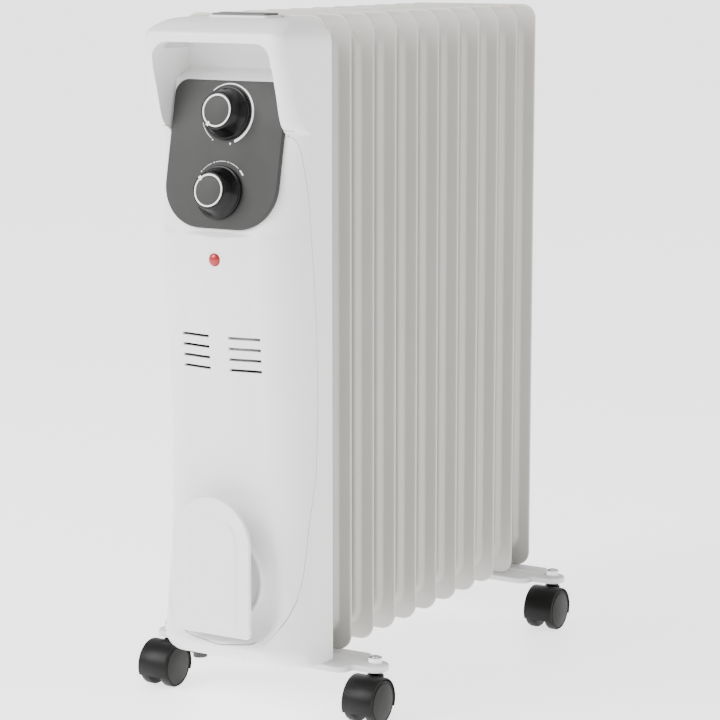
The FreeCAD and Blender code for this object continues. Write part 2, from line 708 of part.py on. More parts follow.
def grip_space():
    """The finger space behind the handle, open to the front and bounded by the panel's ledge."""
    top = float(housing_top)
    back = -float(s.grip_back)
    ledge = float(panel_top)
    panel = -float(panel_back)
    panel_top_y = panel + float(s.panel_height) * math.sin(tilt)
    lip = top - float(s.lip_depth)
    roof = top - float(s.grip_roof)
    lip_back = -float(s.handle_front - s.lip_width)
    low = float(panel_foot) + GRIP_START
    low_y = panel + GRIP_START * math.tan(tilt)
    return side_prism([(back, ledge + LEDGE_RISE), (back, roof), (lip_back, roof), (lip_back, lip),
                       (AHEAD, lip), (AHEAD, low), (low_y, low), (panel_top_y, ledge)],
                      float(s.grip_half))


def plain_box(x, y, z):
    return Part.makeBox(x[1] - x[0], y[1] - y[0], z[1] - z[0], Vector(x[0], y[0], z[0]))


def keep_shape(shape, label):
    """Keeps a sculpted shape as a sub-part of its own."""
    obj = doc.addObject("Part::Feature", label)
    obj.Shape = shape
    return keep(obj, label)


doc.recompute()
inner_half = float(housing_half - s.wall)
outer_body = loft_housing(0.0, 0.0, 0.0)
inner_body = loft_housing(float(s.wall), 20.0, float(s.wall))
cover_part = cover_space(float(housing_half) + 20)
channel_front = -float(s.channel_depth) / 2 - float(s.seat_gap)
base_slot = plain_box((-inner_half, inner_half), (channel_front, 30.0),
                      (0.0, float(housing_base + s.wall) + 1))
fin_slot = plain_box((-inner_half, inner_half), (-2.0, 30.0), (0.0, float(fin_top) + 50)).fuse(base_slot)
rear_room = plain_box((-inner_half, inner_half), (-float(s.grip_back - s.wall), 30.0),
                      (float(panel_top) - 60, float(housing_top) - float(s.wall)))


def panel_hole(rise, radius):
    """A hole square to the control panel."""
    y = -float(s.panel_front) + rise * math.sin(tilt)
    z = float(panel_foot) + rise * math.cos(tilt)
    normal = Vector(0, -math.cos(tilt), math.sin(tilt))
    return Part.makeCylinder(radius, 60, Vector(0, y, z) - normal * 30, normal)


def panel_seat():
    """The room that the control plate lies in, open to the front."""
    half = float(s.panel_half + s.seat_gap)
    gap = float(s.seat_gap)
    seat = plain_box((-half, half), (-30.0, float(s.panel_depth)), (-gap, float(s.panel_height) + gap))
    seat.Placement = Placement(Vector(0, -float(s.panel_front), float(panel_foot)),
                               Rotation(Vector(-1, 0, 0), float(s.panel_tilt)))
    return seat


def screw_places():
    low = float(housing_base + s.screw_low)
    high = float(panel_foot - s.screw_high)
    half = float(s.screw_half)
    return [(side * half, height) for side in (-1, 1) for height in (low, high)]


def make_front_cover():
    """The front cover, with its vents, lamp hole, shaft holes and screw bosses."""
    face = float(bracket_face)
    cover = outer_body.cut(inner_body).common(cover_part)
    for x, z in screw_places():
        foot = Vector(x, face, z)
        boss = Part.makeCylinder(float(s.boss_radius), 60, foot, Vector(0, -1, 0)).common(outer_body)
        bore = Part.makeCylinder(float(s.screw_radius), float(s.screw_reach) + 2, foot, Vector(0, -1, 0))
        cover = cover.fuse(boss).cut(bore)
    cover = cover.cut(panel_seat())
    top_vent = float(panel_foot - s.vent_drop)
    for row in range(int(float(s.vent_rows))):
        height = top_vent - row * float(s.vent_pitch)
        for side in (-1, 1):
            ends = sorted((side * float(s.vent_inner), side * float(s.vent_outer)))
            cover = cover.cut(plain_box(ends, (-100.0, -40.0),
                                        (height - float(s.vent_height) / 2,
                                         height + float(s.vent_height) / 2)))
    pilot_z = float(panel_foot - s.pilot_drop)
    cover = cover.cut(Part.makeCylinder(float(s.pilot_radius), 60, Vector(0, -40, pilot_z),
                                        Vector(0, -1, 0)))
    for rise in (float(s.thermostat_rise), float(s.selector_rise)):
        cover = cover.cut(panel_hole(rise, float(s.shaft_hole)))
    return keep_shape(cover.removeSplitter(), "front_cover")


def make_rear_shell():
    """The rear shell, with the handle, the grip space, the grille's seat and the cord inlet."""
    top = float(housing_top)
    half = float(s.grille_half)
    back = -float(s.grille_setback)
    front = back - float(s.grille_depth)
    rim = float(s.plinth)
    shell = outer_body.cut(inner_body).cut(cover_part)
    block = upper_block().cut(inner_body).cut(cover_part)
    shell = shell.fuse(block).cut(grip_space()).cut(rear_room).cut(fin_slot).cut(panel_seat())
    shell = shell.fuse(plain_box((-half - rim, half + rim), (front - rim, back + rim / 2),
                                 (top - 6, top + rim)))
    shell = shell.cut(plain_box((-half, half), (front, back), (top - float(s.grille_seat), top + 20)))
    shell = shell.cut(Part.makeCylinder(float(s.gland_radius), 20,
                                        Vector(-float(s.gland_x), -float(gland_y),
                                               float(housing_base) - 10)))
    return keep_shape(shell.removeSplitter(), "rear_shell")


make_front_cover()
make_rear_shell()

# Roof grille

grille_back = -s.grille_setback
grille_front = grille_back - s.grille_depth
grille_low = housing_top - s.grille_seat
grille_high = housing_top + s.grille_rise
slot_count = int(float(s.grille_slots))
slot_step = s.grille_half * 2 / (slot_count + 1)
grille_cuts = [box((slot_step * number - s.grille_half - s.slot_width / 2,
                    slot_step * number - s.grille_half + s.slot_width / 2),
                   (grille_front + s.slot_end, grille_back - s.slot_end), (grille_low - 1, grille_high + 1))
               for number in range(1, slot_count + 1)]
keep(cut(box((-s.grille_half, s.grille_half), (grille_front, grille_back), (grille_low, grille_high)),
         *grille_cuts), "top_grille")

# Control panel, its switches and knobs; drawn with the plate's front face at Y = 0


def make_control_plate():
    """The dark control plate, its shaft holes drilled through."""
    body = new_body("control_plate")
    outline = new_sketch(body, "XZ_Plane")
    rounded(outline, s.panel_half, as_size(0), s.panel_height, s.panel_foot_corner, s.panel_top_corner)
    extrude(body, outline, "Pad", s.panel_depth, reverse=True)
    holes = new_sketch(body, "XZ_Plane")
    circle(holes, s.shaft_hole, 0, s.thermostat_rise)
    circle(holes, s.shaft_hole, 0, s.selector_rise)
    extrude(body, holes, "Pocket", s.panel_depth)
    return keep_on_panel(body, "control_plate", as_size(0))


def make_knob(label, rise):
    """A turned conical knob with a skirt, a groove for its ring and a blind bore for its shaft."""
    body = new_body(label)
    profile = new_sketch(body, "XY_Plane")
    face = -(s.knob_gap + s.knob_height)
    bottom = -s.knob_gap
    groove = face + s.ring_depth
    grip = s.shaft_radius
    polygon(profile, [(grip, bottom), (s.knob_radius, bottom), (s.knob_radius, bottom - s.knob_skirt),
                      (s.knob_neck, bottom - s.knob_skirt - 1), (s.knob_top, face + 1),
                      (s.knob_top - 1, face), (s.ring_radius, face), (s.ring_radius, groove),
                      (s.ring_radius - s.ring_width, groove), (s.ring_radius - s.ring_width, face),
                      (0, face), (0, bottom - s.shaft_grip), (grip, bottom - s.shaft_grip)])
    spin(body, profile)
    return keep_on_panel(body, label, rise)


def make_knob_ring(label, rise):
    """The pale ring set flush into the knob's face."""
    body = new_body(label)
    profile = new_sketch(body, "XY_Plane")
    face = -(s.knob_gap + s.knob_height)
    inner = s.ring_radius - s.ring_width
    polygon(profile, [(inner, face), (s.ring_radius, face), (s.ring_radius, face + s.ring_depth),
                      (inner, face + s.ring_depth)])
    spin(body, profile)
    return keep_on_panel(body, label, rise)


def make_switch(label, rise, half):
    """A rotary control: a square case behind the cover with a bush round its shaft."""
    behind = s.panel_depth + s.wall + s.seat_gap
    case = box((-half, half), (behind, behind + s.switch_depth), (-half, half))
    bore = rod("Y", s.shaft_radius + s.run_fit, behind - 1, behind + s.switch_bush)
    return keep_on_panel(cut(case, bore), label, rise)


def make_shaft(label, rise):
    """The turned shaft from inside the control to the knob."""
    body = new_body(label)
    inner = s.panel_depth + s.wall + s.switch_bush - 1
    section = new_sketch(body, "XZ_Plane", -inner)
    circle(section, s.shaft_radius)
    extrude(body, section, "Pad", inner + s.knob_gap + s.shaft_grip)
    return keep_on_panel(body, label, rise)


make_control_plate()
for control, rise, half in (("thermostat", s.thermostat_rise, s.switch_half),
                            ("selector", s.selector_rise, s.switch_half - 2)):
    make_knob(f"{control}_knob", rise)
    make_knob_ring(f"{control}_knob_ring", rise)
    make_shaft(f"{control}_shaft", rise)
    make_switch(f"{control}_body", rise, half)


def make_pilot():
    """The domed lens and the lamp holder behind it."""
    pilot_z = panel_foot - s.pilot_drop
    lens = new_body("pilot_lens")
    profile = new_sketch(lens, "XY_Plane")
    face = -s.pilot_front
    seat = face + s.wall + 1
    back = seat + s.pilot_flange_depth
    polygon(profile, [(0, face - s.pilot_dome), (s.pilot_radius * 0.6, face - s.pilot_dome * 0.8),
                      (s.pilot_radius, face), (s.pilot_radius, seat), (s.pilot_flange, seat),
                      (s.pilot_flange, back), (0, back)])
    spin(lens, profile)
    keep(lens, "pilot_lens", 0, 0, pilot_z)
    keep(join(rod("Y", s.pilot_radius - 1, back, back + s.lamp_depth, z=pilot_z),
              rod("Y", s.pilot_flange, back, back + 2, z=pilot_z)), "pilot_lamp")


make_pilot()

# Cord wrap: an arch-topped plate on a round drum


def make_wrap_plate():
    """The arch-topped plate with a raised inner field."""
    body = new_body("cord_wrap_plate")
    low = housing_base + s.wrap_base
    high = low + s.wrap_height
    outline = new_sketch(body, "XZ_Plane", s.front_reach - s.emboss - s.wrap_depth)
    rounded(outline, s.wrap_half, low, high, s.wrap_corner, s.wrap_half - 0.5)
    extrude(body, outline, "Pad", s.wrap_depth)
    field = new_sketch(body, "XZ_Plane", s.front_reach - s.emboss - s.wrap_depth)
    field_half = s.wrap_half - s.emboss_inset
    rounded(field, field_half, low + s.emboss_inset, high - s.emboss_inset * 2, s.wrap_corner,
            field_half - 0.5)
    extrude(body, field, "Pad", s.wrap_depth + s.emboss)
    return keep(body, "cord_wrap_plate")


def make_drum():
    """The open drum that the cord winds round, with the post that carries the plate."""
    centre = Vector(0, 0, float(drum_z))
    front = -float(s.drum_front)
    back = -float(s.drum_back)
    plate_back = -float(s.front_reach - s.emboss - s.wrap_depth)
    radius = float(s.drum_radius)

    def along(outer, start, end):
        return Part.makeCylinder(outer, start - end, centre + Vector(0, start, 0), Vector(0, -1, 0))

    drum = along(radius, back, front).cut(along(radius - float(s.drum_wall), -float(s.drum_floor),
                                                front - 1))
    drum = drum.fuse(along(float(s.post_radius), back, plate_back)).cut(outer_body)
    return keep_shape(drum.removeSplitter(), "cord_wrap_drum")


make_wrap_plate()
make_drum()

# Parts inside the housing

bracket_holes = [rod("Y", s.screw_radius + 0.2, bracket_face - 1, 0, x=side * s.screw_half, z=height)
                 for side in (-1, 1)
                 for height in (housing_base + s.screw_low, panel_foot - s.screw_high)]
bracket_plate = box((-s.bracket_half, s.bracket_half), (bracket_face, -half_pitch),
                    (housing_base + s.wall + 1, panel_top - s.bracket_top))
keep(cut(bracket_plate, rod("Y", s.flange_radius + 1, bracket_face - 1, 0, z=low_header),
         *bracket_holes), "mounting_bracket")

screws = []
for side in (-1, 1):
    for height in (housing_base + s.screw_low, panel_foot - s.screw_high):
        x = side * s.screw_half
        screws.append(join(rod("Y", s.screw_head, -half_pitch, -half_pitch + s.head_depth, x=x, z=height),
                           rod("Y", s.screw_radius, bracket_face - s.screw_reach, -half_pitch,
                               x=x, z=height)))
keep(join(*screws), "housing_screws")


def on_bracket(label, half, rise, height, depth, x):
    """A small block fixed to the bracket's front face, with a rib on it."""
    low = housing_base + rise
    block = box((x - half, x + half), (bracket_face - depth, bracket_face), (low, low + height))
    rib = box((x - half / 2, x + half / 2), (bracket_face - depth - s.rib_depth, bracket_face - depth + 1),
              (low + height * 0.25, low + height * 0.75))
    return keep(join(block, rib), label)


on_bracket("terminal_block", s.terminal_half, s.terminal_rise, s.terminal_height, s.terminal_depth, 0)
on_bracket("tip_switch", s.tip_half, s.parts_rise, s.tip_height, s.tip_depth, s.tip_place)
on_bracket("thermal_cutout", s.cutout_half, s.parts_rise, s.cutout_height, s.cutout_depth, s.cutout_place)


def make_cord_gland():
    """The inlet bush in the housing's underside, with a flange below and a lip above."""
    body = new_body("cord_gland")
    profile = new_sketch(body, "XZ_Plane")
    under = housing_base
    neck = s.gland_radius
    polygon(profile, [(s.gland_bore, under - s.gland_drop), (neck, under - s.gland_drop),
                      (neck, under - s.gland_flange_depth), (s.gland_flange, under - s.gland_flange_depth),
                      (s.gland_flange, under), (neck, under), (neck, under + s.gland_rise),
                      (s.gland_bore, under + s.gland_rise)])
    spin(body, profile)
    return keep(body, "cord_gland", -s.gland_x, -gland_y)


make_cord_gland()

# Checks, then one STEP file for each node

doc.recompute()
for obj in doc.Objects:
    if "Invalid" in obj.State or "Error" in obj.State:
        raise RuntimeError(f"{obj.Label} failed: {obj.State}")
for node in nodes:
    if node.Shape.isNull() or not node.Shape.isValid() or not node.Shape.Solids:
        raise RuntimeError(f"{node.Label} has no valid solid")

os.makedirs("parts", exist_ok=True)
for node in nodes:
    node.Shape.exportStep(os.path.join("parts", node.Label + ".step"))
print(len(nodes), "nodes written")
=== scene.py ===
"""The looks of an oil filled column radiator, laid out as an add-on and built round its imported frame.

Everything is in metres in the row frame: +Z is up, X runs across the fins, and Y runs from the
control end to the far end. Sizes and colours are properties; each operator makes one group of pieces.
"""
import json
import math

import bmesh
import bpy
from bpy.props import FloatProperty, FloatVectorProperty, IntProperty, PointerProperty
from mathutils import Matrix, Vector


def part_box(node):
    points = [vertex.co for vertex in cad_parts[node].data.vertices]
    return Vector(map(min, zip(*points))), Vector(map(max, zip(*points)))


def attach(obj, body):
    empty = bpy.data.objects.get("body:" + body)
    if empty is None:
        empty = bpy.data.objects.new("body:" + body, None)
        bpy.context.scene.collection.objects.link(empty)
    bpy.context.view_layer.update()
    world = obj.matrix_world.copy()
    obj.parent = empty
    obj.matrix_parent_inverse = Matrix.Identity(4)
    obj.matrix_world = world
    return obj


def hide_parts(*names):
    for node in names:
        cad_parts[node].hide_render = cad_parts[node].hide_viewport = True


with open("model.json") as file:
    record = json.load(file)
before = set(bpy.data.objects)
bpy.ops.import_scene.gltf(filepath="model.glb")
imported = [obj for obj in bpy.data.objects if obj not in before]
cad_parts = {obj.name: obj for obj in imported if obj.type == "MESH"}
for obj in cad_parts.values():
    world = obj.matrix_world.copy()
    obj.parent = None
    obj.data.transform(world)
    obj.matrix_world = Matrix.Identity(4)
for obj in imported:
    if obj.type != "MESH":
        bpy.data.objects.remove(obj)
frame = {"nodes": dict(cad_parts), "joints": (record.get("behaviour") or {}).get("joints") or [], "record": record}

bl_info = {
    "name": "Oil Filled Radiator",
    "version": (1, 0, 0),
    "blender": (4, 5, 0),
    "location": "3D View > Sidebar > Radiator",
    "description": "Builds the shells, fins, controls, feet and casters of a column radiator",
    "category": "Add Mesh",
}

MM = 0.001
FIN_PITCH = 40
GRILLE_SUNK = 3
GRILLE_SLOTS = 9
# How closely a finish's slow changes of tone and of gloss follow each other, and the enamel's ripples
TONE_SCALE, GLOSS_SCALE, RIPPLE_SCALE = 9, 40, 70
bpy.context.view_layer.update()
RECORD_SLOTS = {part["node"]: part["material_slot"] for part in frame["record"]["subparts"]}
JOINTS = {joint["name"]: joint for joint in frame["joints"]}
CORNERS = ("fl", "fr", "rl", "rr")


# Properties

def length(name, description, millimetres):
    return FloatProperty(name=name, description=description, default=millimetres * MM, unit="LENGTH",
                         precision=4)


def share(name, description, value):
    return FloatProperty(name=name, description=description, default=value, min=0, max=1,
                         subtype="FACTOR")


def turn(name, description, degrees):
    return FloatProperty(name=name, description=description, default=math.radians(degrees),
                         subtype="ANGLE", unit="ROTATION")


def colour(name, description, value):
    return FloatVectorProperty(name=name, description=description, default=value, size=3, min=0, max=1,
                               subtype="COLOR")


def count(name, description, value):
    return IntProperty(name=name, description=description, default=value, min=1)


def power(name, description, watts):
    return FloatProperty(name=name, description=description, default=watts, min=0, unit="POWER")


class RadiatorColours(bpy.types.PropertyGroup):
    """Colours of the finishes."""
    white: colour("White Plastic", "Housing, handle and cord wrap", (0.80, 0.80, 0.795))
    # The fins' colour is their real greige enamel set darker than the real paint, so that it also carries painted
    # shade between the fins
    enamel: colour("Enamel", "Stoved enamel on the fins", (0.52, 0.505, 0.475))
    foot: colour("Foot Enamel", "Powder coat on the feet", (0.78, 0.78, 0.775))
    panel: colour("Panel", "Control plate and knob caps", (0.036, 0.036, 0.035))
    knob: colour("Knob", "Knob sides", (0.003, 0.003, 0.003))
    print: colour("Print", "Rings and printed marks", (0.83, 0.83, 0.82))
    lens: colour("Lens", "Pilot lens", (0.34, 0.006, 0.010))
    caster: colour("Caster", "Caster hoods", (0.003, 0.003, 0.003))
    wheel: colour("Wheel", "Caster wheels", (0.008, 0.008, 0.007))
    grille: colour("Grille", "Roof grille", (0.09, 0.09, 0.09))


class HousingSizes(bpy.types.PropertyGroup):
    """Sizes of the housing's shells."""
    skirt: length("Skirt Reach", "How far the skirt goes behind the first fin's plane", 2)
    slope: share("Side Slope", "How much the sides draw in towards the front", 0.07)
    wall: length("Wall", "Thickness of the shells", 2.4)
    grip_half: length("Grip Half Width", "Half the width of the hand opening", 61)
    grip_back: length("Grip Back", "Back wall of the hand opening, ahead of the first fin", 12)
    grip_corner: length("Grip Corner", "Radius of the hand opening's top corners", 15)
    lip: length("Lip Depth", "Height of the handle's bar, from the roof down", 20)
    lip_width: length("Lip Width", "Thickness of the handle's bar", 13)
    soft: length("Edge Softness", "Rounding of the handle's edges", 2.6)
    roof_corner: length("Roof Corner", "Radius where the roof meets the sides", 21)
    seam: length("Seam", "Gap between the front cover and the rear shell", 0.7)
    vent_pitch: length("Vent Pitch", "Distance from one vent to the next", 9.6)
    vent_height: length("Vent Height", "Height of one vent", 2.6)
    vent_inner: length("Vent Inner End", "Inner end of a vent from the middle", 10)
    vent_outer: length("Vent Outer End", "Outer end of a vent from the middle", 41)
    vent_rows: count("Vent Rows", "Vents in each column", 4)


class FinSizes(bpy.types.PropertyGroup):
    """Sizes of the pressed fins."""
    corner: length("Corner", "Radius of a fin's corners", 15)
    rim: length("Rim", "Width of the flat rim round the oil channel", 13)
    channel_corner: length("Channel Corner", "Radius of the channel's corners", 18)
    channel: length("Channel Depth", "Half the depth of the oil channel", 7)
    sheet: length("Rim Thickness", "Half the thickness of the welded rim", 1.0)
    pitch: length("Pitch", "Distance from one fin to the next", FIN_PITCH)
    header: length("Header Radius", "Radius of the header bosses", 22)
    header_inset: length("Header Inset", "Header's middle from a fin's end", 38)


class ControlSizes(bpy.types.PropertyGroup):
    """Sizes of the control plate, the knobs and the pilot lens."""
    plate_half: length("Plate Half Width", "Half the plate's width", 58.5)
    plate_height: length("Plate Height", "Height along the slope", 130)
    plate_depth: length("Plate Depth", "Thickness", 4)
    foot_corner: length("Foot Corner", "Radius of the plate's bottom corners", 39)
    top_corner: length("Top Corner", "Radius of the plate's top corners", 14)
    selector_rise: length("Selector Rise", "Selector's axis above the plate's foot", 31.5)
    mark: length("Mark Radius", "Radius of the printed arcs", 26)
    knob: length("Knob Radius", "Radius of a knob's skirt", 23.5)
    knob_height: length("Knob Height", "Height of a knob's face over the plate", 18.1)
    ring: length("Ring Radius", "Outer radius of the ring on a knob", 14.5)
    ring_width: length("Ring Width", "Width of the ring", 1.5)
    warm: turn("Thermostat Pointer", "Pointer's angle, clockwise from the top", 212)
    level: turn("Selector Pointer", "Pointer's angle, clockwise from the top", 318)


class WrapSizes(bpy.types.PropertyGroup):
    """Sizes of the cord wrap."""
    corner: length("Corner", "Radius of the plate's bottom corners", 5)
    depth: length("Depth", "Thickness of the plate", 4)
    field_half: length("Field Half Width", "Half the raised field's width", 28)
    field_low: length("Field Low", "Field's foot above the plate's foot", 9.5)
    field_high: length("Field High", "Field's top below the plate's top", 20)
    field_corner: length("Field Corner", "Radius of the field's top corners", 17)
    drum: length("Drum Radius", "Outer radius of the drum", 43)
    lip: length("Drum Lip", "Thickness of the drum's rim", 3.6)
    floor: length("Drum Floor", "Depth of the drum inside its rim", 8)
    post: length("Post Radius", "Radius of the post that carries the plate", 15)


class FootSizes(bpy.types.PropertyGroup):
    """Sizes of the foot plates."""
    bar_half: length("Bar Half Length", "Half the length of the wide bar", 95)
    tongue: length("Tongue Half Width", "Half the width of a tongue", 12.5)
    corner: length("Bar Corner", "Radius of the bar's corners", 11)
    fillet: length("Fillet", "Radius where a tongue meets the bar", 9)
    border: length("Border", "Width of the lower border", 4)
    step: length("Step", "Height of the pressed step", 1)
    hollow: length("Hollow", "Depth of the hollow underneath", 4.2)


class CasterSizes(bpy.types.PropertyGroup):
    """Sizes of the casters."""
    shell: length("Hood Wall", "Wall of the hood", 1.3)
    web: length("Web Half Width", "Half the web between the wheels", 5.4)
    skirt: length("Skirt Height", "Height of the hood's lower edge", 12.5)
    collar: length("Collar Radius", "Radius of the collar round the stem", 6.4)
    face: length("Face Radius", "Radius of a wheel's flat face", 17.6)
    groove: length("Groove", "Groove round a wheel's face", 1)
    bore: length("Axle Radius", "Radius of the axle's bore", 3.1)


class StageSizes(bpy.types.PropertyGroup):
    """The camera, the lights and the floor."""
    azimuth: turn("Azimuth", "Camera's angle round the heater", 30.73)
    elevation: turn("Elevation", "Camera's angle above the floor", 9.77)
    distance: length("Distance", "Camera's distance from its target", 2211)
    target_x: length("Target X", "Target across", 79.7)
    target_y: length("Target Y", "Target along", -123.1)
    target_z: length("Target Z", "Target height", 323.2)
    lens: FloatProperty(name="Lens", description="Focal length", default=122.64, subtype="DISTANCE_CAMERA")
    sky: FloatProperty(name="Sky", description="Strength of the white surroundings", default=0.85)
    glow: FloatProperty(name="Floor Glow", description="Light that the floor gives off", default=1.9)
    key: power("Key", "Large softbox at the front left", 125)
    fill: power("Fill", "Softbox at the right", 10)
    top: power("Top", "Softbox overhead", 10)
    floor: colour("Floor", "Pale floor", (0.88, 0.88, 0.88))


# Places in the frame

SHELL_LOW, SHELL_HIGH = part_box("rear_shell")
GRILLE_LOW, GRILLE_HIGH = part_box("top_grille")
WRAP_LOW, WRAP_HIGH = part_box("cord_wrap_plate")
DRUM_LOW, DRUM_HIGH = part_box("cord_wrap_drum")
FIN_LOW, FIN_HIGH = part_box("fin_01")
FIN_Y = (FIN_LOW.y + FIN_HIGH.y) / 2 - FIN_PITCH * MM
THERMOSTAT = Vector(JOINTS["thermostat_turn"]["pos_m"])
SELECTOR = Vector(JOINTS["selector_turn"]["pos_m"])
OUTWARD = -Vector(JOINTS["thermostat_turn"]["axis"])
UPWARD = (THERMOSTAT - SELECTOR).normalized()
BASE = SHELL_LOW.z
ROOF = GRILLE_LOW.z + GRILLE_SUNK * MM


def panel_foot():
    """The middle of the control plate's lower front edge."""
    return SELECTOR - UPWARD * bpy.context.scene.radiator_control.selector_rise


def panel_point(across, rise, out=0.0):
    """A point on the control plate's axes."""
    return panel_foot() + Vector((across, 0, 0)) + UPWARD * rise + OUTWARD * out


# Finishes

def moulded(name, tint, roughness, grain=900.0, depth=0.00006, mottle=0.03, coat=0.0, metallic=0.0,
            wave=0.0, coat_roughness=0.15, gloss=0.5):
    """A finish with a fine surface grain, a slight change of tone and of gloss, and an optional slow
    ripple in the surface, as in stoved enamel."""
    material = bpy.data.materials.new(name)
    material.use_nodes = True
    nodes, links = material.node_tree.nodes, material.node_tree.links
    shader = nodes["Principled BSDF"]
    shader.inputs["Metallic"].default_value = metallic
    shader.inputs["Specular IOR Level"].default_value = gloss
    shader.inputs["Coat Weight"].default_value = coat
    shader.inputs["Coat Roughness"].default_value = coat_roughness
    place = nodes.new("ShaderNodeTexCoord").outputs["Object"]

    def noise(scale, detail):
        node = nodes.new("ShaderNodeTexNoise")
        node.inputs["Scale"].default_value = scale
        node.inputs["Detail"].default_value = detail
        links.new(place, node.inputs["Vector"])
        return node.outputs["Fac"]

    def spread(source, low, high):
        node = nodes.new("ShaderNodeMapRange")
        node.inputs["From Min"].default_value = 0.3
        node.inputs["From Max"].default_value = 0.7
        node.inputs["To Min"].default_value = low
        node.inputs["To Max"].default_value = high
        links.new(source, node.inputs["Value"])
        return node.outputs["Result"]

    tone = nodes.new("ShaderNodeMix")
    tone.data_type = "RGBA"
    tone.inputs["A"].default_value = (*[part * (1 - mottle) for part in tint], 1)
    tone.inputs["B"].default_value = (*[min(part * (1 + mottle), 1) for part in tint], 1)
    links.new(spread(noise(TONE_SCALE, 3), 0, 1), tone.inputs["Factor"])
    links.new(tone.outputs["Result"], shader.inputs["Base Color"])
    links.new(spread(noise(GLOSS_SCALE, 4), roughness * 0.9, min(roughness * 1.12, 1)),
              shader.inputs["Roughness"])
    bump = nodes.new("ShaderNodeBump")
    bump.inputs["Strength"].default_value = 0.6
    bump.inputs["Distance"].default_value = depth
    links.new(noise(grain, 2), bump.inputs["Height"])
    if wave:
        swell = nodes.new("ShaderNodeBump")
        swell.inputs["Strength"].default_value = 0.5
        swell.inputs["Distance"].default_value = wave
        links.new(noise(RIPPLE_SCALE, 1), swell.inputs["Height"])
        links.new(swell.outputs["Normal"], bump.inputs["Normal"])
    links.new(bump.outputs["Normal"], shader.inputs["Normal"])
    return material


def drawn_metal(name, tint, roughness):
    """Bright drawn steel or brass."""
    return moulded(name, tint, roughness, grain=1400, depth=0.00002, mottle=0.08, metallic=1.0)


def make_finishes():
    """Every finish by the name of its slot in the record."""
    colours = bpy.context.scene.radiator_colours
    return {
        "white_plastic": moulded("white_plastic", colours.white, 0.36, grain=1100, depth=0.00004,
                                 mottle=0.012, coat=0.15, coat_roughness=0.3),
        # The fin enamel takes the darkened fin colour: real greige paint plus painted shade between the fins
        "fin_enamel": moulded("fin_enamel", colours.enamel, 0.34, grain=700, depth=0.00005, mottle=0.025,
                              coat=0.3, wave=0.00012, coat_roughness=0.18),
        "foot_enamel": moulded("foot_enamel", colours.foot, 0.4, grain=800, depth=0.00008, mottle=0.02,
                               coat=0.15, wave=0.0001),
        "panel_plastic": moulded("panel_plastic", colours.panel, 0.5, grain=1900, depth=0.00012,
                                 mottle=0.07, gloss=0.2),
        "knob_plastic": moulded("knob_plastic", colours.knob, 0.22, grain=1200, depth=0.00002,
                                mottle=0.1, gloss=0.2),
        "ring_white": moulded("ring_white", colours.print, 0.3, mottle=0.01),
        "lens_red": moulded("lens_red", colours.lens, 0.2, grain=500, depth=0.00002, mottle=0.12),
        "caster_plastic": moulded("caster_plastic", colours.caster, 0.4, grain=1300, depth=0.0001,
                                  mottle=0.15, gloss=0.2),
        "caster_wheel": moulded("caster_wheel", colours.wheel, 0.5, grain=900, depth=0.00008,
                                mottle=0.12, gloss=0.2),
        "grille_plastic": moulded("grille_plastic", colours.grille, 0.45, grain=1300, depth=0.00008,
                                  mottle=0.08),
        "zinc_steel": drawn_metal("zinc_steel", (0.62, 0.63, 0.64), 0.28),
        "element_steel": drawn_metal("element_steel", (0.5, 0.49, 0.47), 0.35),
        "flange_brass": drawn_metal("flange_brass", (0.72, 0.53, 0.25), 0.3),
        "gasket_rubber": moulded("gasket_rubber", (0.06, 0.06, 0.06), 0.75, mottle=0.1),
        "control_case": moulded("control_case", (0.62, 0.6, 0.53), 0.5, mottle=0.04),
        "gland_plastic": moulded("gland_plastic", (0.03, 0.03, 0.03), 0.5, mottle=0.1),
    }


FINISHES = {}


def finish_for(slot):
    """The finish of a slot; the first call makes them all."""
    if not FINISHES:
        FINISHES.update(make_finishes())
    return FINISHES[slot]


# Mesh helpers

def only(kind, parts):
    """The vertices, edges or faces among the parts that a bmesh operator gives back."""
    return [part for part in parts if isinstance(part, kind)]


def loop(shape, points):
    """Vertices at the points and the closed loop of edges through them."""
    verts = [shape.verts.new(point) for point in points]
    return verts, [shape.edges.new((verts[place - 1], verts[place])) for place in range(len(verts))]


def cap(shape, edges):
    """A face over a closed loop of edges."""
    return bmesh.ops.contextual_create(shape, geom=edges)["faces"][0]


def skin(shape, rings):
    """Pulls a loop of edges through rings of points, one after another, and closes both ends."""
    verts, edges = loop(shape, rings[0])
    cap(shape, edges)
    for ring in rings[1:]:
        pulled = bmesh.ops.extrude_edge_only(shape, edges=edges)["geom"]
        fresh = set(only(bmesh.types.BMVert, pulled))
        verts = [next(edge.other_vert(vert) for edge in vert.link_edges if edge.other_vert(vert) in fresh)
                 for vert in verts]
        for vert, point in zip(verts, ring):
            vert.co = point
        edges = [edge for edge in only(bmesh.types.BMEdge, pulled)
                 if edge.verts[0] in fresh and edge.verts[1] in fresh]
    cap(shape, edges)


def rounded(half, low, high, low_radius, high_radius, steps=9):
    """Points of an upright rectangle with round corners, as (across, up)."""
    points = []
    for across, up, radius, start in ((half - low_radius, low + low_radius, low_radius, -90),
                                      (half - high_radius, high - high_radius, high_radius, 0),
                                      (high_radius - half, high - high_radius, high_radius, 90),
                                      (low_radius - half, low + low_radius, low_radius, 180)):
        for step in range(steps + 1):
            angle = math.radians(start + 90 * step / steps)
            points.append((across + radius * math.cos(angle), up + radius * math.sin(angle)))
    return points


def slab(shape, points, thickness):
    """A closed plate: a face through the points, extruded by the thickness vector."""
    face = cap(shape, loop(shape, points)[1])
    pulled = bmesh.ops.extrude_face_region(shape, geom=[face])["geom"]
    bmesh.ops.translate(shape, verts=only(bmesh.types.BMVert, pulled), vec=thickness)


def trim(shape, point, normal):
    """Cuts away what lies behind a plane and closes the cut."""
    cut = bmesh.ops.bisect_plane(shape, geom=shape.verts[:] + shape.edges[:] + shape.faces[:],
                                 plane_co=point, plane_no=normal, clear_inner=True)
    bmesh.ops.holes_fill(shape, edges=only(bmesh.types.BMEdge, cut["geom_cut"]))


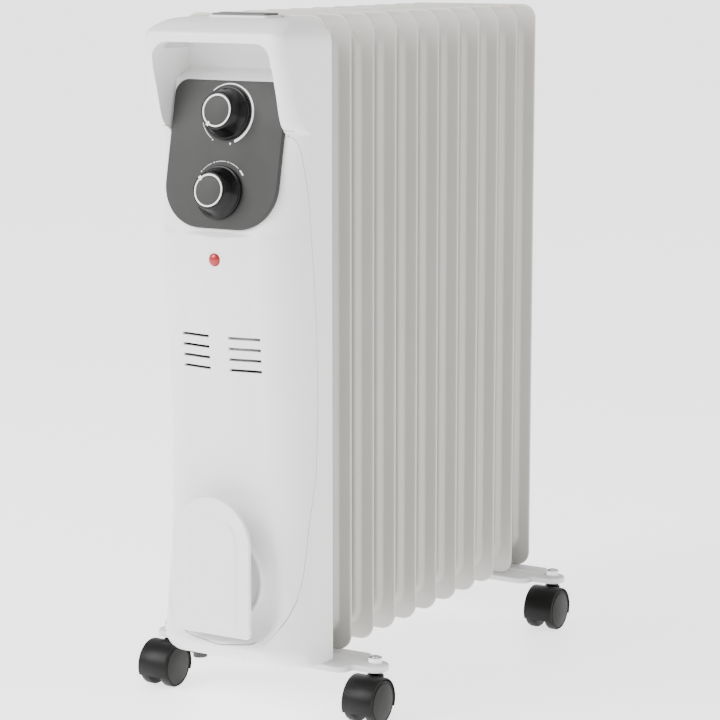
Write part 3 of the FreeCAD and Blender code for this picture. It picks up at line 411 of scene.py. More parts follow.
def soften(shape, width, angle=35, segments=3, where=None):
    """Bevels the edges that turn more than the angle."""
    tidy(shape)
    edges = [edge for edge in shape.edges
             if edge.is_manifold and edge.calc_face_angle(0) > math.radians(angle)
             and (where is None or where(edge))]
    bmesh.ops.bevel(shape, geom=edges, offset=width, offset_type="OFFSET", segments=segments,
                    profile=0.5, affect="EDGES", clamp_overlap=True, material=-1)


def turned(shape, profile, axis, centre, steps=48):
    """Spins a profile of (radius, distance along the axis) points round the axis."""
    direction = Vector(axis).normalized()
    side = direction.orthogonal().normalized()
    verts = [shape.verts.new(centre + side * radius + direction * along) for radius, along in profile]
    edges = [shape.edges.new(pair) for pair in zip(verts, verts[1:])]
    bmesh.ops.spin(shape, geom=verts + edges, cent=centre, axis=direction, dvec=(0, 0, 0),
                   angle=math.tau, steps=steps, use_merge=True, use_duplicate=False)
    bmesh.ops.remove_doubles(shape, verts=shape.verts, dist=1e-6)


def block(shape, low, high):
    """A box between two corners."""
    made = bmesh.ops.create_cube(shape, size=1)["verts"]
    bmesh.ops.scale(shape, vec=Vector(high) - Vector(low), verts=made)
    bmesh.ops.translate(shape, vec=(Vector(high) + Vector(low)) / 2, verts=made)


def tidy(shape):
    """Merges doubles and turns the faces outwards."""
    bmesh.ops.remove_doubles(shape, verts=shape.verts, dist=1e-6)
    bmesh.ops.recalc_face_normals(shape, faces=shape.faces)


def to_object(name, shape):
    """A new object from a finished shape, which is used up."""
    tidy(shape)
    mesh = bpy.data.meshes.new(name)
    shape.to_mesh(mesh)
    shape.free()
    piece = bpy.data.objects.new(name, mesh)
    bpy.context.scene.collection.objects.link(piece)
    return piece


def settle(piece, slot, body="radiator", replaces=(), crease=32):
    """Shades, paints and fastens a finished piece."""
    piece.data.shade_smooth()
    piece.data.set_sharp_from_angle(angle=math.radians(crease))
    piece.data.materials.clear()
    piece.data.materials.append(finish_for(slot))
    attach(piece, body)
    if replaces:
        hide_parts(*replaces)


def carve(piece, shape, operation="DIFFERENCE"):
    """Applies a boolean with a tool shape to a piece."""
    tool = to_object("tool", shape)
    change = piece.modifiers.new("carve", "BOOLEAN")
    change.operation = operation
    change.solver = "EXACT"
    change.object = tool
    depsgraph = bpy.context.evaluated_depsgraph_get()
    mesh = bpy.data.meshes.new_from_object(piece.evaluated_get(depsgraph))
    piece.modifiers.clear()
    piece.data = mesh
    bpy.data.objects.remove(tool)


def reopened(piece):
    """A working copy of a piece's mesh."""
    shape = bmesh.new()
    shape.from_mesh(piece.data)
    return shape


def smooth_between(knots, place):
    """A smooth curve through (place, values...) knots, which never overshoots between two of them."""
    last = len(knots) - 1
    spot = max(number for number in range(last) if number == 0 or knots[number][0] <= place)
    start, end = knots[spot], knots[spot + 1]
    before, after = knots[max(spot - 1, 0)], knots[min(spot + 2, last)]
    run = end[0] - start[0]
    way = min(max((place - start[0]) / run, 0), 1)
    values = []
    for here, there, back, ahead in zip(start[1:], end[1:], before[1:], after[1:]):
        slope = (there - here) / run
        slopes = []
        for left, right in (((here - back) / max(start[0] - before[0], 1e-9), slope),
                            (slope, (ahead - there) / max(after[0] - end[0], 1e-9))):
            slopes.append(2 * left * right / (left + right) if left * right > 0 else 0)
        values.append(here * (2 * way ** 3 - 3 * way ** 2 + 1) + there * (3 * way ** 2 - 2 * way ** 3)
                      + run * slopes[0] * (way ** 3 - 2 * way ** 2 + way)
                      + run * slopes[1] * (way ** 3 - way ** 2))
    return values


# Housing. Its front is given by stations: height over the base or the panel's foot, the reach of the
# middle and of the shoulders ahead of the first fin, and the shoulders' radius, all in millimetres.

CHIN = ((0, 44, 44, 26), (3, 50.5, 50.5, 30), (7, 56, 56, 32), (12, 61, 61, 34), (16, 64, 64, 35),
        (18, 64.6, 64.6, 36), (20, 62.5, 64.6, 36), (24, 57, 64, 36), (30, 52, 63, 36), (43, 50, 60.5, 36),
        (62, 50, 58, 37), (85, 50, 54.5, 38), (110, 50, 52, 38), (137, 50, 50, 38))
CHEST = ((-196, 54, 51, 42), (-111, 61, 57, 44), (-65, 65, 61, 43), (-27, 67, 63.5, 42), (-8, 66, 62.5, 40),
         (-2, 60.2, 60.2, 38))
# The handle's bar and arms in side view: drop below the roof and reach ahead of the first fin
HANDLE = ((0, 44), (2.5, 53), (5.5, 60), (9, 66.5), (11.5, 70), (14, 71), (30, 71), (47, 67), (64, 62),
          (87, 56), (95, 50), (101, 40))
# The seam in side view: rise above the base or the panel's foot, and distance ahead of the first fin
LOW_SEAM = ((17, 66), (31, 61), (43, 54), (51, 50), (64, 44), (84, 37), (128, 30), (158, 25), (179, 21.5))
HIGH_SEAM = ((-159, 20), (-110, 21), (-60, 24), (-8, 29), (27, 32), (53, 36), (70, 38.5), (80, 41), (86, 46))
SEAM_STEPS = 48
# The ridge round the hollow behind the cord wrap, in front view: half width, top and foot above the
# base, the power of its outline, and the share of the hollow that its slope takes up
RIDGE = (73.5, 85, 18)
RIDGE_POWER = 2.4
RIDGE_SLOPE = 0.55
# The cover's rounded lower end in front view: half width and rise above the base
SCOOP = ((0, 18.5), (30, 22.5), (50, 31), (60, 43), (64.5, 51), (68.5, 64), (70, 74), (70, 92))
SCOOP_BACK = 43
# Beside the control plate: the side corners' radius at its foot, what they lose above, and how soon
SIDE_CORNER, CORNER_LOSS, LOSS_PACE = 38, 26, 1.6
# Heights below the roof: under the handle's arms, where the arms begin to leave the sides, and the bar
ARM_FOOT, ARM_ROOT, BAR_FOOT = 104, 76, 16
# Above the panel's foot, the height from which the cover lies only between the arms, and its depth there
BETWEEN_ARMS, BETWEEN_BACK = 80, 20
# A distance from the first fin, and from the middle, that is clear of the housing
CLEAR = 120
# The top row of vents below the panel's foot, and the radius of the pilot lens's hole
VENT_TOP = 96
LENS_HOLE = 5.9


def stations(start, table):
    """A table's rows in metres, with the first value of each counted from a starting height."""
    return [(start + row[0] * MM, *(value * MM for value in row[1:])) for row in table]


def panel_reach(height):
    """How far the sloping panel's seat stands ahead of the first fin at a height."""
    controls = bpy.context.scene.radiator_control
    foot = panel_point(0, 0, -controls.plate_depth)
    return FIN_Y - (foot.y + (height - foot.z) * UPWARD.y / UPWARD.z)


def front_at(height, has_handle=True):
    """Reach of the middle, reach of the shoulders and corner radius at a height."""
    foot = panel_foot().z
    knots = stations(BASE, CHIN) + stations(foot, CHEST)
    if height <= knots[-1][0]:
        return smooth_between(knots, height)
    reach = panel_reach(height)
    arms = stations(0, HANDLE)
    drop = ROOF - height
    if has_handle and drop < arms[-1][0]:
        reach = max(reach, smooth_between(arms, drop)[0])
    loss = CORNER_LOSS * min((height - foot) / (ROOF - foot) * LOSS_PACE, 1)
    return reach, reach, (SIDE_CORNER - loss) * MM


def bowl_share(across, height):
    """1 inside the hollow behind the cord wrap, 0 on its ridge and outside."""
    half, top, low = (part * MM for part in RIDGE)
    rise = max(0.0, (BASE + top - height) / (top - low))
    depth = min(max((1 - (abs(across) / half) ** RIDGE_POWER - rise ** 2) / RIDGE_SLOPE, 0), 1)
    return 1 - (1 - depth) ** 2


def housing_ring(height, inset=0.0, open_back=0.0, corner_steps=14, front_steps=22):
    """Plan outline of the housing at a height, set in by inset."""
    housing = bpy.context.scene.radiator_housing
    middle, shoulder, corner = front_at(height, inset == 0)
    middle -= inset
    shoulder -= inset
    corner = max(corner - inset, 2 * MM)
    back = housing.skirt + open_back
    half_back = SHELL_HIGH.x - inset
    top_round = max(0.0, height - (ROOF - housing.roof_corner))
    draw_in = housing.roof_corner - math.sqrt(max(housing.roof_corner ** 2 - top_round ** 2, 0))

    def half_at(reach):
        return half_back - draw_in - housing.slope * (reach + housing.skirt)

    arc_x = half_at(shoulder - corner) - corner
    side = [(half_at(-back), back)]
    side += [(half_at(reach), -reach) for reach in (0.0, (shoulder - corner) * 0.5)]
    for step in range(corner_steps + 1):
        angle = math.pi / 2 * step / corner_steps
        side.append((arc_x + corner * math.cos(angle), -(shoulder - corner) - corner * math.sin(angle)))
    for step in range(1, front_steps + 1):
        across = arc_x * (1 - step / front_steps)
        side.append((across, -shoulder))
    if height < BASE + CHIN[-1][0] * MM:
        side = [(across, along + bowl_share(across, height) * max(0, -middle - along))
                for across, along in side]
    else:
        side = [(across, along - (middle - shoulder) * max(0, 1 - (across / arc_x) ** 2))
                for across, along in side]
    other = [(-across, along) for across, along in reversed(side[:-1])]
    return [Vector((across, FIN_Y + along, height)) for across, along in side + other]


def housing_heights(top, step_scale=1.0):
    """Heights of the rings, close together over the chin, the panel's foot and the roof."""
    foot = panel_foot().z
    low, heights = BASE, [BASE]
    for high, step in ((BASE + 90 * MM, 2), (foot - 12 * MM, 8), (foot, 1.5), (ROOF - ARM_FOOT * MM, 9),
                       (ROOF - ARM_ROOT * MM, 2.5), (ROOF - BAR_FOOT * MM, 5), (ROOF, 1)):
        parts = max(1, round((high - low) / (step * step_scale * MM)))
        heights += [low + (high - low) * number / parts for number in range(1, parts + 1)]
        low = high
    return [height for height in heights if height <= top + 1e-6]


def side_prism(points, half):
    """A shape with a side view through (y, z) points, as wide as twice half."""
    shape = bmesh.new()
    slab(shape, [Vector((-half, along, up)) for along, up in points], Vector((2 * half, 0, 0)))
    return shape


def grip_tools():
    """The hand opening in three convex parts: ahead of the panel, over the ledge, behind the bar."""
    housing = bpy.context.scene.radiator_housing
    controls = bpy.context.scene.radiator_control
    lip = ROOF - housing.lip
    seat = panel_point(0, 0, -controls.plate_depth - 0.2 * MM)
    ledge = panel_point(0, controls.plate_height + 1 * MM, -controls.plate_depth)
    front, back = FIN_Y - CLEAR * MM, FIN_Y - housing.grip_back
    ledge_back = Vector((0, back, ledge.z + 9 * MM))
    ledge_normal = Vector((0, -(ledge_back.z - ledge.z), ledge_back.y - ledge.y)).normalized()
    tools = []
    for low, plane_point, plane_normal in ((ROOF - ARM_FOOT * MM, seat, OUTWARD),
                                           (ledge.z - 30 * MM, ledge, ledge_normal)):
        shape = bmesh.new()
        points = [Vector((across, front, up))
                  for across, up in rounded(housing.grip_half, low, lip, 0.5 * MM, housing.grip_corner)]
        slab(shape, points, Vector((0, back - front, 0)))
        tidy(shape)
        trim(shape, plane_point, plane_normal)
        tools.append(shape)
    shape = bmesh.new()
    behind = FIN_Y - max(reach for _, reach in HANDLE) * MM + housing.lip_width
    block(shape, (-housing.grip_half, behind, lip - 8 * MM), (housing.grip_half, back, ROOF - 10 * MM))
    soften(shape, 6 * MM, segments=4)
    tools.append(shape)
    return tools


def cover_room(margin):
    """Everything that belongs to the front cover, grown by a margin."""
    housing = bpy.context.scene.radiator_housing
    foot = panel_foot().z
    knots = stations(BASE, LOW_SEAM) + stations(foot, HIGH_SEAM)
    low, high = knots[0][0], knots[-1][0]
    ahead = FIN_Y - CLEAR * MM
    heights = [low + (high - low) * step / SEAM_STEPS for step in range(SEAM_STEPS + 1)]
    seam = [(FIN_Y - smooth_between(knots, height)[0] + margin, height) for height in heights]
    seam = [(seam[0][0], low - margin)] + seam[1:-1] + [(seam[-1][0], high + margin)]
    outline = [(ahead, low - margin)] + seam + [(ahead, high + margin)]
    room = to_object("cover_room", side_prism(outline, CLEAR * MM))
    start = foot + BETWEEN_ARMS * MM
    top = panel_point(0, bpy.context.scene.radiator_control.plate_height).z + 12 * MM
    back = FIN_Y - BETWEEN_BACK * MM + margin
    outline = [(ahead, start), (back, start), (back, top + margin), (ahead, top + margin)]
    carve(room, side_prism(outline, housing.grip_half + margin), "UNION")
    right = [(across * MM + margin, BASE + rise * MM - (margin if rise < 50 else 0))
             for across, rise in SCOOP[1:]]
    left = [(-across, up) for across, up in reversed(right)]
    outline = left + [(0, BASE + SCOOP[0][1] * MM - margin)] + right
    scoop = bmesh.new()
    slab(scoop, [Vector((across, ahead, up)) for across, up in outline],
         Vector((0, FIN_Y - SCOOP_BACK * MM + margin - ahead, 0)))
    carve(room, scoop, "UNION")
    shape = reopened(room)
    bpy.data.objects.remove(room)
    return shape


class RADIATOR_OT_housing(bpy.types.Operator):
    """Make the front cover and the rear shell with its handle"""
    bl_idname = "radiator.housing"
    bl_label = "Housing"

    def execute(self, context):
        housing = context.scene.radiator_housing
        shape = bmesh.new()
        skin(shape, [housing_ring(height) for height in housing_heights(ROOF)])
        whole = to_object("housing", shape)
        for tool in grip_tools():
            carve(whole, tool)
        shape = reopened(whole)
        front = FIN_Y - housing.grip_back - 2 * MM
        low = ROOF - 100 * MM

        def on_handle(edge):
            return all(vert.co.z > low and vert.co.y < front for vert in edge.verts)

        soften(shape, housing.soft, angle=42, segments=4, where=on_handle)
        shape.to_mesh(whole.data)
        shape.free()
        self.hollow(whole, housing)
        self.openings(whole, housing)
        cover = to_object("front_cover_skin", reopened(whole))
        carve(cover, cover_room(0), "INTERSECT")
        whole.name = "rear_shell_skin"
        carve(whole, cover_room(housing.seam))
        settle(cover, "white_plastic", replaces=["front_cover"])
        settle(whole, "white_plastic", replaces=["rear_shell"])
        self.plinth()
        return {"FINISHED"}

    def hollow(self, whole, housing):
        """Opens the shells from behind, below the panel's top and behind the hand opening."""
        top = panel_point(0, bpy.context.scene.radiator_control.plate_height).z - 8 * MM
        heights = [height + housing.wall for height in housing_heights(top - housing.wall, 3.0)]
        shape = bmesh.new()
        skin(shape, [housing_ring(height, inset=housing.wall * 1.4, open_back=25 * MM, corner_steps=5,
                                  front_steps=6) for height in heights])
        carve(whole, shape)
        shape = bmesh.new()
        half = SHELL_HIGH.x - housing.wall
        block(shape, (-half, FIN_Y - housing.grip_back + housing.wall, top - 60 * MM),
              (half, FIN_Y + 30 * MM, ROOF - housing.wall))
        soften(shape, 14 * MM, segments=5, where=lambda edge: all(vert.co.z > top for vert in edge.verts))
        carve(whole, shape)

    def openings(self, whole, housing):
        """The vents and the pilot lens's hole."""
        foot = panel_foot().z
        shape = bmesh.new()
        for row in range(housing.vent_rows):
            height = foot - VENT_TOP * MM - row * housing.vent_pitch
            for side in (-1, 1):
                ends = sorted((side * housing.vent_inner, side * housing.vent_outer))
                block(shape, (ends[0], FIN_Y - 90 * MM, height - housing.vent_height / 2),
                      (ends[1], FIN_Y - 40 * MM, height + housing.vent_height / 2))
        carve(whole, shape)
        low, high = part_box("pilot_lens")
        shape = bmesh.new()
        centre = Vector((0, FIN_Y - 40 * MM, (low.z + high.z) / 2))
        hole = LENS_HOLE * MM
        turned(shape, ((0, 0), (hole, 0), (hole, 50 * MM), (0, 50 * MM)), (0, -1, 0), centre)
        carve(whole, shape)

    def plinth(self):
        """The raised white frame round the roof grille."""
        shape = bmesh.new()
        rim = 2.4 * MM
        points = [Vector((across, along, ROOF - 1.5 * MM)) for across, along in
                  rounded(GRILLE_HIGH.x + rim, GRILLE_LOW.y - rim, GRILLE_HIGH.y + rim, 3 * MM, 3 * MM, 5)]
        slab(shape, points, Vector((0, 0, 3.6 * MM)))
        soften(shape, 0.9 * MM)
        settle(to_object("grille_plinth", shape), "white_plastic")


class RADIATOR_OT_fins(bpy.types.Operator):
    """Make the eleven pressed fins with their channels and header bosses"""
    bl_idname = "radiator.fins"
    bl_label = "Fins"

    def execute(self, context):
        sizes = context.scene.radiator_fins
        names = sorted(name for name in frame["nodes"] if name.startswith("fin_"))
        for number, name in enumerate(names):
            self.make_fin(sizes, name, FIN_Y + sizes.pitch * number, number == 0)
        return {"FINISHED"}

    def make_fin(self, sizes, name, plane, is_first):
        shape = bmesh.new()
        half, low, high = FIN_HIGH.x, FIN_LOW.z, FIN_HIGH.z
        # (inset, corner radius, distance from the fin's plane) from the ridge out to the rim's edge
        steps = [(sizes.rim + inward * MM, sizes.channel_corner - inward * MM, sizes.channel - fall * MM)
                 for inward, fall in ((9, 0), (5.5, 0), (3.4, 0.35), (2, 1.3), (1.1, 2.8))]
        steps += [(sizes.rim + 0.4 * MM, sizes.channel_corner - 0.4 * MM, sizes.sheet + 1.2 * MM),
                  (sizes.rim - 0.6 * MM, sizes.channel_corner + 0.4 * MM, sizes.sheet + 0.25 * MM),
                  (sizes.rim - 1.8 * MM, sizes.channel_corner + 1.2 * MM, sizes.sheet)]
        steps += [(inward * MM, sizes.corner - inward * MM, sizes.sheet * part)
                  for inward, part in ((2.4, 1), (0.8, 1), (0.2, 0.75), (0, 0.3))]
        rings = []
        for side, order in ((-1, steps), (1, steps[::-1])):
            for inset, corner, away in order:
                points = rounded(half - inset, low + inset, high - inset, corner, corner)
                rings.append([Vector((x, plane + side * away, z)) for x, z in points])
        skin(shape, rings)
        reach = sizes.pitch / 2
        for height in (low + sizes.header_inset, high - sizes.header_inset):
            for side in (-1, 1):
                short = is_first and side == -1 and height > (low + high) / 2
                end = sizes.channel + 1.2 * MM if short else reach
                self.boss(shape, sizes, Vector((0, plane, height)), side, end)
        settle(to_object(name + "_pressing", shape), "fin_enamel", replaces=[name], crease=50)

    def boss(self, shape, sizes, centre, side, end):
        """A header boss, its foot flared into the channel and its end closed by a weld."""
        header, channel = sizes.header, sizes.channel
        start = channel - 1 * MM
        profile = [(0, start), (header + 4.5 * MM, start), (header + 4.5 * MM, channel + 0.02 * MM)]
        if end > channel + 4 * MM:
            profile += [(header + 2 * MM, channel + 0.7 * MM), (header + 0.6 * MM, channel + 2.2 * MM),
                        (header, channel + 4 * MM), (header, end - 0.9 * MM),
                        (header + 0.7 * MM, end - 0.5 * MM), (header + 0.7 * MM, end)]
        else:
            profile += [(header, end)]
        profile += [(0, end)]
        turned(shape, profile, (0, side, 0), centre)


class RADIATOR_OT_controls(bpy.types.Operator):
    """Make the control plate, its marks, the knobs and the pilot lens"""
    bl_idname = "radiator.controls"
    bl_label = "Controls"

    def execute(self, context):
        sizes = context.scene.radiator_control
        self.plate(sizes)
        self.marks(sizes)
        self.knob(sizes, "thermostat", THERMOSTAT, sizes.warm)
        self.knob(sizes, "selector", SELECTOR, sizes.level)
        self.lens()
        return {"FINISHED"}

    def plate(self, sizes):
        """The sloping plate with its front edge rounded."""
        shape = bmesh.new()
        points = [panel_point(across, rise) for across, rise in
                  rounded(sizes.plate_half, 0, sizes.plate_height, sizes.foot_corner, sizes.top_corner, 14)]
        slab(shape, points, -OUTWARD * sizes.plate_depth)
        soften(shape, 1.3 * MM, angle=60, segments=4, where=lambda edge: all(
            (vert.co - panel_foot()).dot(OUTWARD) > -1e-5 for vert in edge.verts))
        settle(to_object("control_fascia", shape), "panel_plastic", replaces=["control_plate"])

    def ray(self, angle):
        """A direction on the plate, clockwise from the top."""
        return Vector((math.sin(angle), 0, 0)) + UPWARD * math.cos(angle)

    def arc(self, shape, centre, radius, start, end, widths, steps=40):
        """A printed arc, clockwise from the top in degrees, whose width goes from one value to another."""
        inner, outer = [], []
        for step in range(steps + 1):
            part = step / steps
            half = (widths[0] + (widths[1] - widths[0]) * part) / 2
            ray = self.ray(math.radians(start + (end - start) * part))
            inner.append(centre + ray * (radius - half) + OUTWARD * 0.02 * MM)
            outer.append(centre + ray * (radius + half) + OUTWARD * 0.02 * MM)
        slab(shape, inner + outer[::-1], OUTWARD * 0.12 * MM)

    def marks(self, sizes):
        """The growing arc round the thermostat, the selector's dashes, and the dots of both."""
        shape = bmesh.new()
        self.arc(shape, THERMOSTAT, sizes.mark, -41, 158, (0.7 * MM, 2.4 * MM))
        self.arc(shape, THERMOSTAT, sizes.mark + 0.4 * MM, 213, 250, (0.45 * MM, 0.45 * MM), 12)
        for angle, size in ((209, 1.2), (168, 1.7)):
            self.dot(shape, THERMOSTAT, sizes.mark + 1 * MM, angle, size * MM)
        for angle in (-50, -19, 12, 43):
            self.dot(shape, SELECTOR, sizes.mark + 1.6 * MM, angle, 1.1 * MM)
        for start in (-46, -15, 16):
            self.arc(shape, SELECTOR, sizes.mark + 1.6 * MM, start, start + 22, (0.35 * MM, 0.35 * MM), 8)
        self.arc(shape, SELECTOR, sizes.mark + 1.6 * MM, 44, 54, (1.3 * MM, 1.3 * MM), 6)
        settle(to_object("control_marks", shape), "ring_white")

    def dot(self, shape, centre, radius, angle, size):
        """A printed dot at an angle in degrees."""
        turned(shape, ((0, 0.02 * MM), (size / 2, 0.02 * MM), (size / 2, 0.14 * MM), (0, 0.14 * MM)), OUTWARD,
               centre + self.ray(math.radians(angle)) * radius, 12)

    def knob(self, sizes, name, centre, angle):
        """A knob's skirt, its cap and the ring insert with a pointer."""
        top = sizes.knob_height
        base = sizes.knob
        groove = top - 1.2 * MM
        inner = sizes.ring - sizes.ring_width
        body = f"{name}_dial"
        shape = bmesh.new()
        profile = ((3 * MM, 0.6 * MM), (base - 0.4 * MM, 0.6 * MM), (base, 1.0 * MM), (base, 3.0 * MM),
                   (base - 0.5 * MM, 3.6 * MM), (base - 1.6 * MM, 3.9 * MM), (base - 2.1 * MM, 4.6 * MM),
                   (base - 4.6 * MM, 10.5 * MM), (sizes.ring + 2.4 * MM, top - 1.6 * MM),
                   (sizes.ring + 1.7 * MM, top - 0.5 * MM), (sizes.ring + 0.8 * MM, top), (sizes.ring, top),
                   (sizes.ring, groove), (inner, groove), (3 * MM, groove), (3 * MM, 0.6 * MM))
        turned(shape, profile, OUTWARD, centre, 72)
        settle(to_object(f"{name}_knob_body", shape), "knob_plastic", body, [f"{name}_knob"])
        shape = bmesh.new()
        turned(shape, ((0, groove), (inner - 0.1 * MM, groove), (inner - 0.1 * MM, top - 0.2 * MM),
                       (inner - 0.7 * MM, top), (0, top + 0.15 * MM)), OUTWARD, centre, 64)
        settle(to_object(f"{name}_knob_cap", shape), "panel_plastic", body)
        shape = bmesh.new()
        outer = sizes.ring - 0.1 * MM
        turned(shape, ((inner, groove), (outer, groove), (outer, top + 0.1 * MM),
                       (outer - 0.3 * MM, top + 0.35 * MM), (inner + 0.3 * MM, top + 0.35 * MM),
                       (inner, top + 0.1 * MM), (inner, groove)), OUTWARD, centre, 72)
        ray = self.ray(angle)
        across = ray.cross(OUTWARD)
        corners = [centre + ray * radius + across * width + OUTWARD * (top + 0.05 * MM) for radius, width in
                   ((sizes.ring - 2.6 * MM, -0.8 * MM), (sizes.ring - 2.6 * MM, 0.8 * MM),
                    (sizes.ring + 1.1 * MM, 1.5 * MM), (sizes.ring + 1.1 * MM, -1.5 * MM))]
        slab(shape, corners, OUTWARD * 0.4 * MM)
        settle(to_object(f"{name}_ring_insert", shape), "ring_white", body, [f"{name}_knob_ring"])

    def lens(self):
        """The pilot lens: a dome, a bead round it and a flange behind the cover."""
        low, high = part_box("pilot_lens")
        centre = Vector((0, low.y, (low.z + high.z) / 2))
        shape = bmesh.new()
        angles = [math.pi / 2 * step / 10 for step in range(11)]
        profile = [(5.2 * MM * math.sin(angle), 2.2 * MM * math.cos(angle) - 2.2 * MM) for angle in angles]
        profile += [(5.3 * MM, -2.6 * MM), (5.7 * MM, -2.7 * MM), (5.8 * MM, -3.2 * MM), (5.8 * MM, -5 * MM),
                    (7 * MM, -5.6 * MM), (7 * MM, -7 * MM), (0, -7 * MM)]
        turned(shape, profile, (0, -1, 0), centre)
        settle(to_object("pilot_lens_dome", shape), "lens_red", replaces=["pilot_lens"])


class RADIATOR_OT_cord_wrap(bpy.types.Operator):
    """Make the cord wrap's plate and drum"""
    bl_idname = "radiator.cord_wrap"
    bl_label = "Cord Wrap"

    def execute(self, context):
        sizes = context.scene.radiator_wrap
        half = WRAP_HIGH.x
        low, high = WRAP_LOW.z, WRAP_HIGH.z
        front = WRAP_LOW.y + 0.8 * MM

        def ring(outline, inset, out):
            across, foot, top, low_radius, high_radius = outline
            return [Vector((x, front - out * MM, up)) for x, up in
                    rounded(across - inset * MM, foot + inset * MM, top - inset * MM,
                            low_radius - inset * MM, high_radius - inset * MM, 16)]

        edge = (half, low, high, sizes.corner, half - 0.5 * MM)
        field = (sizes.field_half, low + sizes.field_low, high - sizes.field_high, 4 * MM, sizes.field_corner)
        back = -sizes.depth / MM
        rings = [ring(edge, inset, out) for inset, out in
                 ((3, back), (1.2, back), (0.3, back + 0.3), (0, back + 1), (0, -1.3), (0.35, -0.45),
                  (1.2, 0), (3, 0))]
        rings += [ring(field, inset, out) for inset, out in
                  ((-1, 0), (0, 0.02), (0.5, 0.25), (1.1, 0.6), (1.8, 0.78), (3, 0.8))]
        shape = bmesh.new()
        skin(shape, rings)
        settle(to_object("cord_wrap_panel", shape), "white_plastic", replaces=["cord_wrap_plate"], crease=24)
        self.drum(sizes, front + sizes.depth)
        return {"FINISHED"}

    def drum(self, sizes, plate_back):
        """The dished drum with the post that carries the plate."""
        centre = Vector((0, DRUM_HIGH.y, (DRUM_LOW.z + DRUM_HIGH.z) / 2))
        rim = FIN_Y - 60 * MM
        front = centre.y - rim
        shape = bmesh.new()
        inner = sizes.drum - sizes.lip
        floor = front - sizes.floor
        post = centre.y - plate_back + 0.2 * MM
        turned(shape, ((0, 0), (sizes.drum - 1 * MM, 0), (sizes.drum - 1 * MM, front - 4 * MM),
                       (sizes.drum - 0.4 * MM, front - 2 * MM), (sizes.drum, front - 1.2 * MM),
                       (sizes.drum - 0.5 * MM, front - 0.3 * MM), (sizes.drum - 1.6 * MM, front),
                       (inner + 0.6 * MM, front - 0.3 * MM), (inner, front - 1.4 * MM),
                       (inner - 0.8 * MM, floor + 2 * MM), (inner - 2.5 * MM, floor),
                       (sizes.post + 3 * MM, floor), (sizes.post, floor + 3 * MM), (sizes.post, post),
                       (0, post)),
               (0, -1, 0), centre, 72)
        settle(to_object("cord_wrap_dish", shape), "white_plastic", replaces=["cord_wrap_drum"])


class RADIATOR_OT_feet(bpy.types.Operator):
    """Make the pressed foot plates"""
    bl_idname = "radiator.feet"
    bl_label = "Feet"

    def execute(self, context):
        sizes = context.scene.radiator_feet
        for name in ("foot_front", "foot_rear"):
            low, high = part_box(name)
            self.make_foot(sizes, name, low, high)
        return {"FINISHED"}

    def make_foot(self, sizes, name, low, high):
        """A wide bar with a round tongue at each end, stepped on top and hollow underneath."""
        middle = (low.y + high.y) / 2
        wide, narrow = (high.y - low.y) / 2, sizes.tongue
        end = high.x
        shape = bmesh.new()
        bar = sizes.bar_half
        corners = ((bar, -wide, sizes.corner), (bar, -narrow, sizes.fillet), (end, -narrow, narrow),
                   (end, narrow, narrow), (bar, narrow, sizes.fillet), (bar, wide, sizes.corner))
        corners += tuple((-across, -along, radius) for across, along, radius in corners)
        verts = [shape.verts.new((across, middle + along, low.z)) for across, along, _ in corners]
        shape.faces.new(verts)
        for vert, (_, _, radius) in zip(verts, corners):
            bmesh.ops.bevel(shape, geom=[vert], offset=radius * 0.98, offset_type="OFFSET", segments=8,
                            profile=0.5, affect="VERTICES", clamp_overlap=True, material=-1)
        outline = shape.faces[:][0]
        pulled = bmesh.ops.extrude_face_region(shape, geom=[outline])["geom"]
        bmesh.ops.translate(shape, verts=only(bmesh.types.BMVert, pulled),
                            vec=(0, 0, high.z - low.z - sizes.step))
        tidy(shape)
        top = max(shape.faces, key=lambda face: face.calc_center_median().z)
        under = min(shape.faces, key=lambda face: face.calc_center_median().z)
        bmesh.ops.inset_region(shape, faces=[top], thickness=sizes.border, use_even_offset=True)
        bmesh.ops.inset_region(shape, faces=[top], thickness=1.2 * MM, depth=sizes.step, use_even_offset=True)
        bmesh.ops.inset_region(shape, faces=[under], thickness=2 * MM, use_even_offset=True)
        bmesh.ops.inset_region(shape, faces=[under], thickness=0.3 * MM, depth=-sizes.hollow,
                               use_even_offset=True)
        soften(shape, 1.4 * MM, angle=60, segments=3,
               where=lambda edge: all(vert.co.z > high.z - sizes.step - 1e-5 for vert in edge.verts))
        settle(to_object(name + "_pressing", shape), "foot_enamel", replaces=[name], crease=40)


